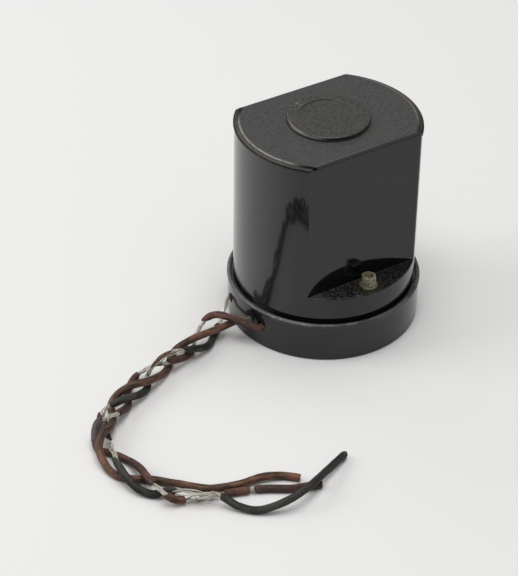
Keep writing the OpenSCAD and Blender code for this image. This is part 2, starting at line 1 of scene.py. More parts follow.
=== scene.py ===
# %% [markdown]
# # A watch repairer's demagnetizer
#
# The real tool is a wound coil on an iron core inside a black moulded case. A watch part is
# held over the disc on top and drawn slowly away, which leaves it with no magnetism. The
# packed CAD model gives every solid piece its place and size, so this script only dresses it:
# it gives each piece its finish and makes what solids can't hold, which here is the three old
# rubber cores of the cord, the threads of the nuts and screws, the floor and the light.

import json
import math

import bmesh
import bpy
import numpy as np
from mathutils import Matrix, Vector, noise


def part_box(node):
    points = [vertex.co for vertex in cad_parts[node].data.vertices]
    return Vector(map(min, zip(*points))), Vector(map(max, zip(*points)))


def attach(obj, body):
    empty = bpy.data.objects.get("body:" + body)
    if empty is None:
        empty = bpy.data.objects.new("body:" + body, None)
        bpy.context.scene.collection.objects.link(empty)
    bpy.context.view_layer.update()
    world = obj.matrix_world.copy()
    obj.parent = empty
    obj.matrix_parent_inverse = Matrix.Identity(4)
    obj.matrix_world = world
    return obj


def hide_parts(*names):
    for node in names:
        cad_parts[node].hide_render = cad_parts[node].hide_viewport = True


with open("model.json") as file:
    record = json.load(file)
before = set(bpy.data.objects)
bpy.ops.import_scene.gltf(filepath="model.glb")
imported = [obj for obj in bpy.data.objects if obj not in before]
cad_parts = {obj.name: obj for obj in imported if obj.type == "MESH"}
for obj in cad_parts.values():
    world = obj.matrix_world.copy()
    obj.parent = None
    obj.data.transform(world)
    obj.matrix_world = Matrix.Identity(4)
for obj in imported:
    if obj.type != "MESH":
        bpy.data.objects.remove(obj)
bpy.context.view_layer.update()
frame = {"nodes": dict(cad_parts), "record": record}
nodes = frame["nodes"]
MM = 0.001

# %% [markdown]
# ## Where it is seen from
#
# A long lens from well back keeps upright edges nearly parallel, as in a catalogue picture of
# a small tool. The camera's axes are worked out from three angles, because a look-at helper
# would lose the slight roll that a camera on a tripod often has.

# %% Camera
camera_place = Vector((-0.47113, -0.67342, 0.61073))
camera_lens = 134.18
camera_turn, camera_rise, camera_roll = (math.radians(a) for a in (-32.876, 36.292, 0.838))

back = Vector((math.sin(camera_turn) * math.cos(camera_rise),
               -math.cos(camera_turn) * math.cos(camera_rise),
               math.sin(camera_rise)))
level = back.cross(Vector((0, 0, -1))).normalized()
upward = back.cross(level)
across = level * math.cos(camera_roll) + upward * math.sin(camera_roll)
over = upward * math.cos(camera_roll) - level * math.sin(camera_roll)

camera = bpy.data.objects.new("camera", bpy.data.cameras.new("camera"))
camera.data.lens = camera_lens
camera.data.clip_end = 20
axes = Matrix((across, over, back)).transposed().to_4x4()
camera.matrix_world = Matrix.Translation(camera_place) @ axes
bpy.context.scene.collection.objects.link(camera)
bpy.context.scene.camera = camera
print("camera", [round(x, 3) for x in camera_place], "lens", camera_lens)

# %% [markdown]
# ## The lines that the cores follow
#
# The cord's outer sheath is gone, and its three cores lie twisted round each other. Each is a
# list of points in millimetres, the same as in the CAD source. They could be curve objects
# shaped in the viewport, but a list in the script can be read and changed.
# The first points lie inside the base, from the terminal to the hole in its wall.

# %% Core routes
core_d = 3.4 * MM
brown_route = [
    (-30.5, -1, 10), (-33, -1, 10), (-40, -5, 11), (-45.5, -5.5, 11), (-48.5, -2, 9.5),
    (-56, 0, 7), (-65, 0.5, 6.5), (-73, 0.5, 6), (-80.5, 0.5, 3.5), (-85, -2.5, 2.5), (-91, -8.5, 1.8),
    (-103, -15.5, 6), (-113.5, -15.5, 7), (-120, -15, 4.5), (-124.5, -17, 1.8),
    (-127.5, -24, 1.8), (-134, -33.5, 5.5), (-141, -39, 7.5), (-145, -43.5, 6),
    (-146.5, -48.5, 4), (-146.5, -55.5, 1.8), (-144.5, -61.5, 1.8), (-140.5, -65.5, 1.8),
    (-134.5, -69.5, 1.8), (-127, -77, 1.8), (-117, -87, 1.8), (-112, -89.5, 1.8),
    (-103.5, -92, 1.8), (-92.5, -94, 2.5), (-85, -97, 1.8), (-79.5, -102, 1.8),
]
red_route = [
    (-30.5, -9.5, 10), (-33, -9.5, 10), (-38.5, -12, 11), (-44, -13.5, 11), (-48, -9.5, 11.5),
    (-52, -3, 12.5), (-56, 4.5, 11.5), (-59, 8, 8.5), (-65.5, 6.5, 4), (-72, 0, 1.8),
    (-78, -6, 3.5), (-88.5, -8.5, 6), (-98, -6, 5), (-105.5, -6.5, 3), (-114, -13, 1.8),
    (-118, -21, 1.8), (-126.5, -28, 6), (-134.5, -31.5, 9), (-139.5, -32.5, 9),
    (-143, -36, 5), (-144, -41.5, 1.8), (-141, -45, 1.8), (-136.5, -54, 1.8),
    (-136.5, -63.5, 5), (-137.5, -75, 6.5), (-136.5, -83.5, 6), (-133, -87.5, 3.5),
    (-128.5, -88.5, 1.8), (-122.5, -90.5, 1.8), (-114.5, -93, 1.8), (-103, -97, 1.8),
    (-96, -100, 1.8), (-86, -106, 1.8), (-78.5, -108.5, 1.8), (-74, -110.5, 1.8),
]
grey_route = [
    (-30.5, 7.5, 10), (-33, 7.5, 10), (-39, 12, 11), (-44, 13.5, 11), (-46.5, 12.5, 8),
    (-50.5, 9.5, 4.5), (-58, 3.5, 1.8), (-66, -3.5, 2.5), (-77.5, -6.5, 7),
    (-89.5, -7.5, 10), (-97.5, -9, 8), (-102, -10, 4), (-104, -14, 1.8), (-111, -19.5, 4),
    (-121.5, -22, 7), (-131, -22.5, 5), (-133.5, -25.5, 2.5), (-136.5, -35, 1.8),
    (-141, -48, 6.5), (-144, -58, 7), (-144, -67, 4.5), (-142, -73.5, 2.5),
    (-138.5, -78, 1.8), (-133, -81, 3.5), (-127.5, -88, 5.5), (-123.5, -92.5, 5.5),
    (-117, -97, 5.5), (-112, -104, 2.5), (-106.5, -109.5, 1.8), (-100, -113, 3.5),
    (-92, -115, 6), (-82.5, -113.5, 7), (-68, -106, 4), (-55, -99.5, 1.8),
]
print("points of the routes:", len(brown_route), len(red_route), len(grey_route))

# %% [markdown]
# ## A smooth line through every point
#
# A limp core has no kinks. A Bezier curve would need two handles at each point, so a
# centripetal Catmull-Rom curve is worked out instead: it passes through every point and
# doesn't loop where two are close.

# %% Smooth line
STEPS_PER_POINT = 12


def blend_points(a, b, t0, t, t1):
    """The point at t on the straight line that is at a when t is t0 and at b when it is t1."""
    return ((t1 - t) * a + (t - t0) * b) / (t1 - t0)


def smooth_line(route):
    """Points of a centripetal Catmull-Rom curve through every point of the route."""
    ends = np.vstack([2 * route[0] - route[1], route, 2 * route[-1] - route[-2]])
    line = []
    for a, b, c, d in zip(ends, ends[1:], ends[2:], ends[3:]):
        t = np.cumsum([0] + [math.sqrt(np.linalg.norm(q - p)) for p, q in ((a, b), (b, c), (c, d))])
        for here in np.linspace(t[1], t[2], STEPS_PER_POINT, endpoint=False):
            ab = blend_points(a, b, t[0], here, t[1])
            bc = blend_points(b, c, t[1], here, t[2])
            cd = blend_points(c, d, t[2], here, t[3])
            near = blend_points(ab, bc, t[0], here, t[2])
            far = blend_points(bc, cd, t[1], here, t[3])
            line.append(blend_points(near, far, t[1], here, t[2]))
    return np.array(line + [route[-1]])


print("the brown core's line has", len(smooth_line(np.array(brown_route, float))), "points")

# %% [markdown]
# ## Places on a line
#
# Everything on a core is placed by how far along it is and at what angle round it. Each place
# gets an up and a side direction, taken from the vertical and not carried along the line as a
# curve object does it, so an angle means the same thing all the way: 90 degrees is the top.

# %% Lines of the three cores
UP = np.array((0.0, 0.0, 1.0))
reach = 0.6 * MM


class CoreLine:
    """A core's centreline. Places on it are distances from its start, in metres."""

    def __init__(self, route_mm):
        self.points = smooth_line(np.array(route_mm, float) * MM)
        self.points[:, 2] = np.maximum(self.points[:, 2], core_d / 2)
        steps = np.linalg.norm(np.diff(self.points, axis=0), axis=1)
        self.along = np.concatenate([[0], np.cumsum(steps)])
        self.length = self.along[-1]
        self.route_at = self.along[::STEPS_PER_POINT]

    def at(self, point):
        """How far along the line a point of the route is; 7.5 is half way from point 7 to 8."""
        return float(np.interp(point, np.arange(len(self.route_at)), self.route_at))

    def centre(self, along):
        """The line's points at distances from its start; past its ends it runs on straight."""
        along = np.asarray(along, float)
        inside = np.stack([np.interp(along, self.along, self.points[:, k]) for k in range(3)], -1)
        first = self.points[1] - self.points[0]
        last = self.points[-1] - self.points[-2]
        before = np.minimum(along, 0)[..., None] * first / np.linalg.norm(first)
        after = np.maximum(along - self.length, 0)[..., None] * last / np.linalg.norm(last)
        return inside + before + after

    def directions(self, along):
        """Side and up directions at distances from the line's start."""
        ahead = self.centre(np.asarray(along) + reach) - self.centre(np.asarray(along) - reach)
        ahead /= np.linalg.norm(ahead, axis=-1, keepdims=True)
        side = np.cross(ahead, UP)
        side /= np.linalg.norm(side, axis=-1, keepdims=True)
        return side, np.cross(side, ahead)

    def around(self, along, angle, radius):
        """Points at a radius from the line and an angle round it; angle 0 is its side, 90 its top."""
        side, up = self.directions(along)
        angle = np.radians(np.asarray(angle, float))[..., None]
        radius = np.asarray(radius, float)[..., None]
        return self.centre(along) + radius * (np.cos(angle) * side + np.sin(angle) * up)


brown_line, red_line, grey_line = (CoreLine(r) for r in (brown_route, red_route, grey_route))
for name, line in (("brown", brown_line), ("red", red_line), ("grey", grey_line)):
    print(name, "core", round(line.length, 4), "m long")

# %% [markdown]
# ## Grids of points
#
# The cores, and later the nuts and screws, are all made of grids: rows of points along a piece,
# with the same number of points in each row. Faces between neighbours then need no thought, and
# a vector kept on each point says how it lies, for the finishes to use. Curves with a bevel or
# cut-out solids could do part of this, but not torn ends or a thread.

# %% Gathering grids
class GridMesh:
    """Gathers grids of points and the faces between them."""

    def __init__(self):
        self.points, self.lay, self.faces, self.finish = [], [], [], []
        self.count = 0

    def add_faces(self, faces, finish):
        """Adds faces, as rows of point numbers, that all have the same finish."""
        self.faces.append(faces)
        self.finish.append(np.full(len(faces), finish))

    def add_grid(self, points, lay, around, finish):
        """Adds a grid of points, rows along the piece and columns round it; around closes each row."""
        rows, columns = points.shape[:2]
        index = self.count + np.arange(rows * columns).reshape(rows, columns)
        right = np.roll(index, -1, axis=1) if around else index[:, 1:]
        left = index if around else index[:, :-1]
        quads = np.stack([left[:-1], right[:-1], right[1:], left[1:]], -1)
        self.add_faces(quads.reshape(-1, 4), finish)
        self.points.append(points.reshape(-1, 3))
        self.lay.append(lay.reshape(-1, 3))
        self.count += rows * columns
        return index

    def join(self, a, b, around, finish):
        """Faces between two rows of points that are there already."""
        a2, b2 = (np.roll(x, -1) if around else x[1:] for x in (a, b))
        a1, b1 = (x if around else x[:-1] for x in (a, b))
        self.add_faces(np.stack([a1, b1, b2, a2], -1), finish)

    def cap(self, row, finish):
        """One face over a row of points that are there already."""
        self.add_faces(np.array([row]), finish)


square = GridMesh()
square.add_grid(np.zeros((3, 3, 3)), np.zeros((3, 3, 3)), False, 0)
print("a grid of 3 by 3 points has", len(square.faces[0]), "faces")

# %% [markdown]
# ## Two walls
#
# A piece of old rubber has an outside, an inside and a torn edge between them. A solidify
# modifier gives a sheet that thickness, but the inside would follow every lump of the outside.
# So the two walls are grids of their own, and strips of faces join their edges.

# %% Walls joined at their edges
above_floor = 0.05 * MM


class WalledMesh(GridMesh):
    """Grids, some of them in pairs that are the two walls of a sleeve."""

    def add_walls(self, walls, lay, whole, finish):
        """The outer and the inner wall of a sleeve, kept off the floor and joined at their edges."""
        for wall in walls:
            wall[..., 2] = np.maximum(wall[..., 2], above_floor)
        out, bore = (self.add_grid(wall, lay, whole, finish) for wall in walls)
        self.join(out[0], bore[0], whole, finish)
        self.join(bore[-1], out[-1], whole, finish)
        if not whole:
            self.join(bore[:, 0], out[:, 0], False, finish)
            self.join(out[:, -1], bore[:, -1], False, finish)


print("walls stay", round(above_floor / MM, 2), "mm above the floor")

# %% [markdown]
# ## From grids to an object
#
# All the grids of one piece become one mesh. Its faces are turned outwards, because bumps go
# wrong on a face that is inside out, and it is shaded smooth except at the edges that are
# sharp on the real piece too.

# %% Object from grids
sharp_edge = math.radians(40)


class PieceMesh(WalledMesh):
    """Grids that can be made into an object."""

    def make(self, name, finishes):
        """One object of everything gathered, smooth but for its sharp edges."""
        mesh = bpy.data.meshes.new(name)
        points = np.concatenate(self.points)
        faces = [tuple(int(i) for i in face) for group in self.faces for face in group]
        mesh.from_pydata(points.tolist(), [], faces)
        for finish in finishes:
            mesh.materials.append(finish)
        mesh.polygons.foreach_set("material_index", np.concatenate(self.finish).astype(np.int32))
        mesh.polygons.foreach_set("use_smooth", [True] * len(faces))
        self.face_outwards(mesh)
        lay = mesh.attributes.new("lay", "FLOAT_VECTOR", "POINT")
        lay.data.foreach_set("vector", np.concatenate(self.lay).astype(np.float32).ravel())
        mesh.validate()
        mesh.set_sharp_from_angle(angle=sharp_edge)
        piece = bpy.data.objects.new(name, mesh)
        bpy.context.scene.collection.objects.link(piece)
        print(name, len(points), "points")
        return piece

    @staticmethod
    def face_outwards(mesh):
        """Turns every face to the outside."""
        outward = bmesh.new()
        outward.from_mesh(mesh)
        bmesh.ops.recalc_face_normals(outward, faces=outward.faces)
        outward.to_mesh(mesh)
        outward.free()


print("edges sharper than", round(math.degrees(sharp_edge)), "degrees stay sharp")

# %% [markdown]
# ## One strand
#
# A strand is a thin round wire. A curve with a bevel makes one in a moment, but then it can't
# share a mesh with the rubber, so it is a grid too: a small ring of points at each step.

# %% A round strand
STRAND, BROWN, RED, GREY, VIOLET, PALE = range(6)
strand_d = 0.6 * MM
strand_sides = 6


class StrandMesh(PieceMesh):
    """A piece with strands in it."""

    def strand(self, centre):
        """A round strand along a list of points, with closed ends."""
        ahead = np.gradient(centre, axis=0)
        ahead /= np.linalg.norm(ahead, axis=1, keepdims=True)
        side = np.cross(ahead, UP)
        side /= np.linalg.norm(side, axis=1, keepdims=True)
        up = np.cross(side, ahead)
        angle = np.linspace(0, 2 * math.pi, strand_sides, endpoint=False)[None, :]
        across, over = np.cos(angle) * strand_d / 2, np.sin(angle) * strand_d / 2
        rim = across[..., None] * side[:, None] + over[..., None] * up[:, None]
        steps = np.linalg.norm(np.diff(centre, axis=0), axis=1)
        along = np.concatenate([[0], np.cumsum(steps)])[:, None]
        lay = np.stack(np.broadcast_arrays(along, across, over), -1)
        index = self.add_grid(centre[:, None] + rim, lay, True, STRAND)
        self.cap(index[0], STRAND)
        self.cap(index[-1], STRAND)


print("a strand is", round(strand_d / MM, 2), "mm thick and has", strand_sides, "sides")

# %% [markdown]
# ## Smooth noise
#
# Nothing on an old cord is even. Random numbers would make every point jump by itself, so all
# unevenness of the cores' shape comes from smooth noise, in which neighbours move together.

# %% Smooth noise
def soft_noise(points, size):
    """Noise from about -1 to 1 at each point, with features of a size in metres."""
    flat = np.asarray(points, float).reshape(-1, 3) / size
    values = np.array([noise.noise(Vector(p)) for p in flat])
    return values.reshape(np.asarray(points).shape[:-1])


print("noise at three places:", soft_noise([(0.3, 0, 0), (0.4, 0, 0), (0.5, 0, 0)], 1.0).round(3))

# %% [markdown]
# ## The strands of a core
#
# Inside each core one strand runs down the middle and six lie round it in a long spiral. An
# array tool would lay them evenly, but where the rubber is gone these have come loose. So each
# strand wanders a little, and where it is loose it moves off to one side. Every third strand
# goes to nearly the same side, because worn strands part in bundles. Turns are in degrees.

# %% Strands of a core
strand_count = 7
strand_ring = 0.64 * MM
strand_twist = 16 * MM
ring_step = 0.6 * MM
strand_step = 1.5 * ring_step
sway_length = 8 * MM
sway_turn = 30
sway_share = 0.4
bundle_turn = 125
strand_turn = 12
core_turn = 100
rise_of_loose = 0.7


class StrandedCore(StrandMesh):
    """The strands of one core, along its line."""

    def __init__(self, line, seed):
        super().__init__()
        self.line = line
        self.seed = seed

    def spread(self, along, loose):
        """How far apart the strands are at each place, from a list of (first, last, mm apart)."""
        apart = np.zeros(len(along))
        for first, last, most in loose:
            middle = (self.line.at(first) + self.line.at(last)) / 2
            half = (self.line.at(last) - self.line.at(first)) / 2
            share = np.clip(1 - np.abs(along - middle) / half, 0, 1)
            apart += most * MM * np.sin(share * math.pi / 2)
        return apart

    def strands(self, loose=()):
        """One strand with six round it, laid close except where loose."""
        along = np.arange(0, self.line.length + ring_step, strand_step)
        apart = self.spread(along, loose)
        side, up = self.line.directions(along)
        for k in range(strand_count):
            place = np.stack([along * 0, along, along * 0 + k + self.seed], -1)
            sway = soft_noise(place, sway_length)
            place_in_ring = 360 / (strand_count - 1) * k
            turn = 360 * along / strand_twist + place_in_ring + sway_turn * sway
            centre = self.line.around(along, turn, np.full(len(along), strand_ring if k else 0.0))
            away = math.radians(bundle_turn * (k % 3) + strand_turn * k + core_turn * self.seed)
            shift = apart * (1 - sway_share + sway_share * sway) * (k > 0)
            centre += shift[:, None] * (math.cos(away) * side + rise_of_loose * math.sin(away) * up)
            centre[:, 2] = np.maximum(centre[:, 2], strand_d / 2)
            self.strand(centre)


print(strand_count, "strands in each core")

# %% [markdown]
# ## Torn rims and rough rubber
#
# Old rubber doesn't break straight across. Its rim slants, and it is ragged at the scale of a
# millimetre. Its surface has wide lumps, small grains and long streaks, whose heights are
# shares of the core's radius. A displace modifier could add these, but it would push the bore
# about as well, and the strands would come through it.

# %% Torn rims and grain
rim_scale = 1.5
lump_size, lump_height = 5 * MM, 0.045
grain_size, grain_height = 1.2 * MM, 0.032
streak_size, streak_height = 1.3 * MM, 0.03
streak_stretch = 4


def torn_rim(angle, seed, cut, ragged):
    """How far a rim reaches past its place at each angle. A cut is (slant in mm, longest side)."""
    slant, longest = cut
    rim = np.stack([np.cos(np.radians(angle)), np.sin(np.radians(angle))], -1) * rim_scale
    rough = soft_noise(np.column_stack([rim, np.full(len(angle), seed)]), 1.0)
    return ((1 + np.cos(np.radians(angle - longest))) / 2 * slant + rough * ragged) * MM


def rubber_grain(lay, seed):
    """How far the rubber bulges, as a share of its radius: lumps, grains and long streaks."""
    drawn_out = lay * np.array((1 / streak_stretch, 1, 1)) + seed
    lumps = soft_noise(lay + seed, lump_size) * lump_height
    grains = soft_noise(lay + seed, grain_size) * grain_height
    return lumps + grains + soft_noise(drawn_out, streak_size) * streak_height


longest_reach = torn_rim(np.array([90.0]), 1.0, (2.8, 90), 0.35)
print("a rim that slants 2.8 mm reaches", longest_reach.round(5), "m at its longest side")

# %% [markdown]
# ## Broken sleeves of rubber
#
# The rubber round the strands has cracked off in places, and its ends are slanted, pointed or
# split open. Cutting whole tubes with a boolean would leave clean edges, so a sleeve is a grid
# on the outside and one on the inside, joined at the rims. Where it begins and ends depends on
# the angle round the core, so a slanted or ragged end needs no cutting, and a sleeve over part
# of the way round is a split shell.

# %% Sleeves of a core
sleeve_bore = 0.95 * MM
sleeve_columns = 24
shell_column_turn = 15
fewest = 6
rim_rounding = 0.35 * MM
rim_drop = 0.1
rim_seed_step = 7.3


class OldCore(StrandedCore):
    """The strands of one core, and what is left of its rubber."""

    def sleeve(self, first, last, finish, first_cut=(0.4, 90), last_cut=(0.4, 90), way=(0, 360),
               swell=0.0, ragged=0.35, lift=0.0, closing=(0.0, 0.0)):
        """Rubber from one point of the route to another.

        A cut is how far it slants in mm, and the angle of the side that is longest. way is the
        angles that the rubber covers. lift raises a split shell off the strands, in mm, and
        closing says how far the shell narrows to a point at each end.
        """
        whole = way[1] - way[0] >= 360
        columns = sleeve_columns if whole else int((way[1] - way[0]) / shell_column_turn) + 1
        angle = np.linspace(way[0], way[1], max(fewest, columns), endpoint=not whole)
        begin, stop = self.line.at(first), self.line.at(last)
        share = np.linspace(0, 1, max(fewest, int((stop - begin) / ring_step) + 1))[:, None]
        first_rim = begin - torn_rim(angle, self.seed + rim_seed_step * first, first_cut, ragged)
        last_rim = stop + torn_rim(angle, self.seed + rim_seed_step * last, last_cut, ragged)
        along = first_rim * (1 - share) + last_rim * share
        to_first, to_last = np.clip(1 - 2 * share, 0, 1), np.clip(2 * share - 1, 0, 1)
        narrow = 1 - closing[0] * to_first - closing[1] * to_last
        middle = (way[0] + way[1]) / 2
        angles = middle + (np.broadcast_to(angle, along.shape) - middle) * narrow
        turn = np.radians(angles)
        radius = core_d / 2
        lay = np.stack([along, np.cos(turn) * radius, np.sin(turn) * radius], -1)
        from_rim = np.minimum(share, 1 - share) * (stop - begin)
        rounded = 1 - rim_drop * np.exp(-from_rim / rim_rounding)
        bulge = rubber_grain(lay, self.seed) + swell * np.sin(share * math.pi)
        outer = radius * (1 + bulge) * rounded + lift * MM
        inner = np.full(along.shape, sleeve_bore + lift * MM)
        self.add_walls([self.line.around(along, angles, r) for r in (outer, inner)], lay, whole, finish)


print("a sleeve's wall is", round(core_d / 2 - sleeve_bore, 5), "m thick")

# %% [markdown]
# ## A short way to write materials
#
# Every finish here is a node tree on a Principled shader, worked out from where a point is on
# the object, so it needs no painted textures and stays put when the camera or a part moves.
# Wiring nodes by hand takes five lines each, so short calls are made for the few that are used.

# %% Nodes
class NodeTree:
    """A material's node tree, with one short call for each kind of node."""

    def __init__(self, name, **settings):
        self.material = bpy.data.materials.new(name)
        self.material.use_nodes = True
        self.tree = self.material.node_tree
        self.shader = self.tree.nodes["Principled BSDF"]
        self.place = self.node("TexCoord").outputs["Object"]
        for socket, value in settings.items():
            self.set(socket.replace("_", " "), value)

    def node(self, kind, **settings):
        """Adds a node of a kind."""
        made = self.tree.nodes.new("ShaderNode" + kind)
        for setting, value in settings.items():
            setattr(made, setting, value)
        return made

    def feed(self, socket, value):
        """Links another node's output to the socket, or gives it a number or a colour."""
        if isinstance(value, bpy.types.NodeSocket):
            self.tree.links.new(value, socket)
        elif isinstance(value, tuple) and len(value) == 3 and socket.type == "RGBA":
            socket.default_value = (*value, 1)
        else:
            socket.default_value = value

    def set(self, socket, value):
        """Gives one of the shader's own sockets a value."""
        self.feed(self.shader.inputs[socket], value)


print("a node tree has", [call for call in vars(NodeTree) if call[0] != "_"])

# %% [markdown]
# ## Sums and directions
#
# A finish has to know how high a point is, how far from an axis and which way it faces. A
# number typed into a socket is the same all over a piece. Only nodes are worked out anew for
# each point, so these calls turn a sum into nodes.

# %% Sums and directions
class Measure(NodeTree):
    """A node tree that can do sums with where a point is and which way it faces."""

    def math(self, operation, *values, clamp=False):
        """One sum; clamp keeps it from 0 to 1."""
        made = self.node("Math", operation=operation, use_clamp=clamp)
        for socket, value in zip(made.inputs, values):
            self.feed(socket, value)
        return made.outputs[0]

    def times(self, first, *others):
        """All the values multiplied."""
        for other in others:
            first = self.math("MULTIPLY", first, other)
        return first

    def split(self, vector):
        """The x, y and z parts of a vector."""
        made = self.node("SeparateXYZ")
        self.feed(made.inputs[0], vector)
        return made.outputs

    def distance(self, x, y):
        """How far the point (x, y) is from (0, 0)."""
        return self.math("SQRT", self.math("ADD", self.times(x, x), self.times(y, y)))

    def facing(self):
        """The x, y and z parts of the surface's direction."""
        return self.split(self.node("NewGeometry").outputs["Normal"])

    def stretched(self, vector, scale):
        """The vector with each of its parts multiplied."""
        made = self.node("VectorMath", operation="MULTIPLY")
        self.feed(made.inputs[0], vector)
        made.inputs[1].default_value = scale
        return made.outputs[0]

    def lay(self, stretch):
        """Where a point is on an unrolled core, along it and round it; stretch draws streaks out."""
        made = self.node("Attribute", attribute_name="lay")
        return self.stretched(made.outputs["Vector"], (1 / stretch, 1, 1))


print("and", [call for call in vars(Measure) if call[0] != "_"])

# %% [markdown]
# ## Patterns, shares and layers
#
# A finish is built up as coats of paint are: a share, from 0 to 1, says how much of the next
# colour lies over the last. Shares come from noise and from soft steps in height, distance or
# direction. A colour ramp node could hold several steps, but it is hard to read in a script.

# %% Patterns and layers
NOISE_LOW, NOISE_HIGH = 0.3, 0.7


class Finish(Measure):
    """A material made of patterns, soft steps and layers of colour."""

    def noise(self, size, detail=3.0, roughness=0.55, at=None):
        """Cloudy noise from about 0.25 to 0.75, with features of a size in metres."""
        made = self.node("TexNoise")
        self.feed(made.inputs["Vector"], self.place if at is None else at)
        for socket, value in (("Scale", 1 / size), ("Detail", detail), ("Roughness", roughness)):
            made.inputs[socket].default_value = value
        return made.outputs[0]

    def crackle(self, size, at):
        """Distance from the nearest of the lines between cells of a size in metres."""
        made = self.node("TexVoronoi", feature="DISTANCE_TO_EDGE")
        self.feed(made.inputs["Vector"], at)
        made.inputs["Scale"].default_value = 1 / size
        return made.outputs["Distance"]

    def ramp(self, value, low, high, to_low=0.0, to_high=1.0):
        """A soft step: to_low where the value is under low, to_high where it is over high."""
        made = self.node("MapRange", interpolation_type="SMOOTHSTEP")
        for socket, part in zip(made.inputs, (value, low, high, to_low, to_high)):
            self.feed(socket, part)
        return made.outputs[0]

    def fade(self, value, low, high):
        """A soft step down: 1 where the value is under low, 0 where it is over high."""
        return self.ramp(value, low, high, 1.0, 0.0)

    def vary(self, noise, low=0.0, high=1.0):
        """A number from low to high, which follows noise over nearly all of its range."""
        return self.ramp(noise, NOISE_LOW, NOISE_HIGH, low, high)

    def band(self, value, low, high, soft):
        """1 where the value is from low to high, falling to 0 over a soft edge."""
        return self.times(self.ramp(value, low - soft, low), self.fade(value, high, high + soft))

    def mix(self, share, a, b):
        """Colour a with a share of colour b over it."""
        made = self.node("Mix", data_type="RGBA")
        for socket, part in zip((made.inputs["Factor"], *made.inputs[6:8]), (share, a, b)):
            self.feed(socket, part)
        return made.outputs[2]

    def blend(self, share, a, b):
        """Number a where the share is 0, and number b where it is 1."""
        made = self.node("Mix", data_type="FLOAT")
        for socket, part in zip((made.inputs[0], *made.inputs[2:4]), (share, a, b)):
            self.feed(socket, part)
        return made.outputs[0]

    def bump(self, height, depth):
        """Bumps whose height is in metres times depth."""
        made = self.node("Bump")
        made.inputs["Distance"].default_value = depth
        self.feed(made.inputs["Height"], height)
        return made.outputs[0]


print("and", [call for call in vars(Finish) if call[0] != "_"])

# %% [markdown]
# ## Rubber
#
# Old rubber is dull and dry, with streaks along it where it was handled, fine cracks and a
# little pale dust. The streaks come from noise that is drawn out along the core, which is why
# each core's mesh carries a vector that says how far along and which way round a point lies.
# The rubbers differ only in their five tones, so one function makes them all.

# %% Rubber finishes
rubber_tones = {
    "brown_rubber": ((0.034, 0.021, 0.016), (0.108, 0.055, 0.037), (0.19, 0.086, 0.057),
                     (0.1, 0.077, 0.046), (0.22, 0.18, 0.15)),
    "red_rubber": ((0.03, 0.015, 0.013), (0.08, 0.039, 0.031), (0.142, 0.063, 0.05),
                   (0.07, 0.042, 0.034), (0.2, 0.15, 0.14)),
    "grey_rubber": ((0.013, 0.0125, 0.0115), (0.031, 0.029, 0.0265), (0.053, 0.05, 0.0465),
                    (0.045, 0.045, 0.038), (0.12, 0.116, 0.106)),
    "violet_rubber": ((0.04, 0.027, 0.027), (0.085, 0.058, 0.055), (0.11, 0.09, 0.09),
                      (0.1, 0.045, 0.05), (0.18, 0.15, 0.15)),
    "perished_rubber": ((0.02, 0.024, 0.017), (0.07, 0.085, 0.075), (0.15, 0.165, 0.15),
                        (0.13, 0.095, 0.04), (0.25, 0.25, 0.21)),
}
streak_width = 1.3 * MM
wide_streak_width = 3.2 * MM
patch_size = 9 * MM
speck_size = 0.45 * MM
crack_spacing = 1.3 * MM
rubber_relief = 0.22 * MM


def rubber(name, dark, main, light, stained, dusty):
    """Perished rubber: streaks of four tones, with a little pale dust on what faces up."""
    f = Finish(name, Specular_IOR_Level=0.22)
    streaks = f.noise(streak_width, detail=4, roughness=0.65, at=f.lay(7))
    wide_streaks = f.noise(wide_streak_width, detail=3, at=f.lay(4))
    patches = f.noise(patch_size, detail=2, at=f.lay(1.5))
    specks = f.noise(speck_size, detail=2)
    colour = f.mix(f.ramp(streaks, 0.42, 0.55), dark, main)
    colour = f.mix(f.ramp(wide_streaks, 0.5, 0.58), colour, light)
    colour = f.mix(f.times(f.ramp(patches, 0.52, 0.64), 0.7), colour, stained)
    dust = f.times(f.ramp(f.facing()[2], 0.3, 0.95), f.ramp(specks, 0.45, 0.75))
    colour = f.mix(f.times(dust, 0.3), colour, dusty)
    cracks = f.crackle(crack_spacing, f.lay(2.2))
    crazed = f.times(f.fade(cracks, 0.0, 0.05), f.ramp(patches, 0.45, 0.6))
    f.set("Base Color", f.mix(f.times(crazed, 0.6), colour, dark))
    height = f.math("SUBTRACT", f.math("ADD", streaks, f.times(specks, 0.6)), crazed)
    f.set("Roughness", f.vary(streaks, 0.45, 0.7))
    f.set("Normal", f.bump(height, rubber_relief))
    return f.material


rubbers = [rubber(name, *tones) for name, tones in rubber_tones.items()]
print([finish.name for finish in rubbers])

# %% [markdown]
# ## Tinned copper
#
# The tin on old strands has gone dull, a grey white with dirty streaks and greenish places. A
# fully metallic shader would go nearly black wherever it mirrors something dark, so this one is
# less than half metal, which keeps the dull white of a rough tinned wire.

# %% Strand finish
STRAND_WHITE = (0.84, 0.8, 0.75)
STRAND_DULL = (0.55, 0.51, 0.45)
STRAND_GREEN = (0.3, 0.32, 0.25)
STRAND_DIRT = (0.2, 0.18, 0.14)


def tinned_copper(name):
    """Old tinned strands: dull grey-white, with darker and greenish places."""
    f = Finish(name, Metallic=0.4)
    patches = f.noise(3 * MM, detail=3, at=f.lay(3))
    streaks = f.noise(0.6 * MM, detail=2, at=f.lay(8))
    colour = f.mix(f.ramp(patches, 0.35, 0.55), STRAND_WHITE, STRAND_DULL)
    colour = f.mix(f.ramp(patches, 0.6, 0.72), colour, STRAND_GREEN)
    f.set("Base Color", f.mix(f.ramp(streaks, 0.52, 0.62), colour, STRAND_DIRT))
    f.set("Roughness", f.vary(patches, 0.34, 0.55))
    f.set("Normal", f.bump(f.noise(0.5 * MM, at=f.lay(5)), 0.05 * MM))
    return f.material


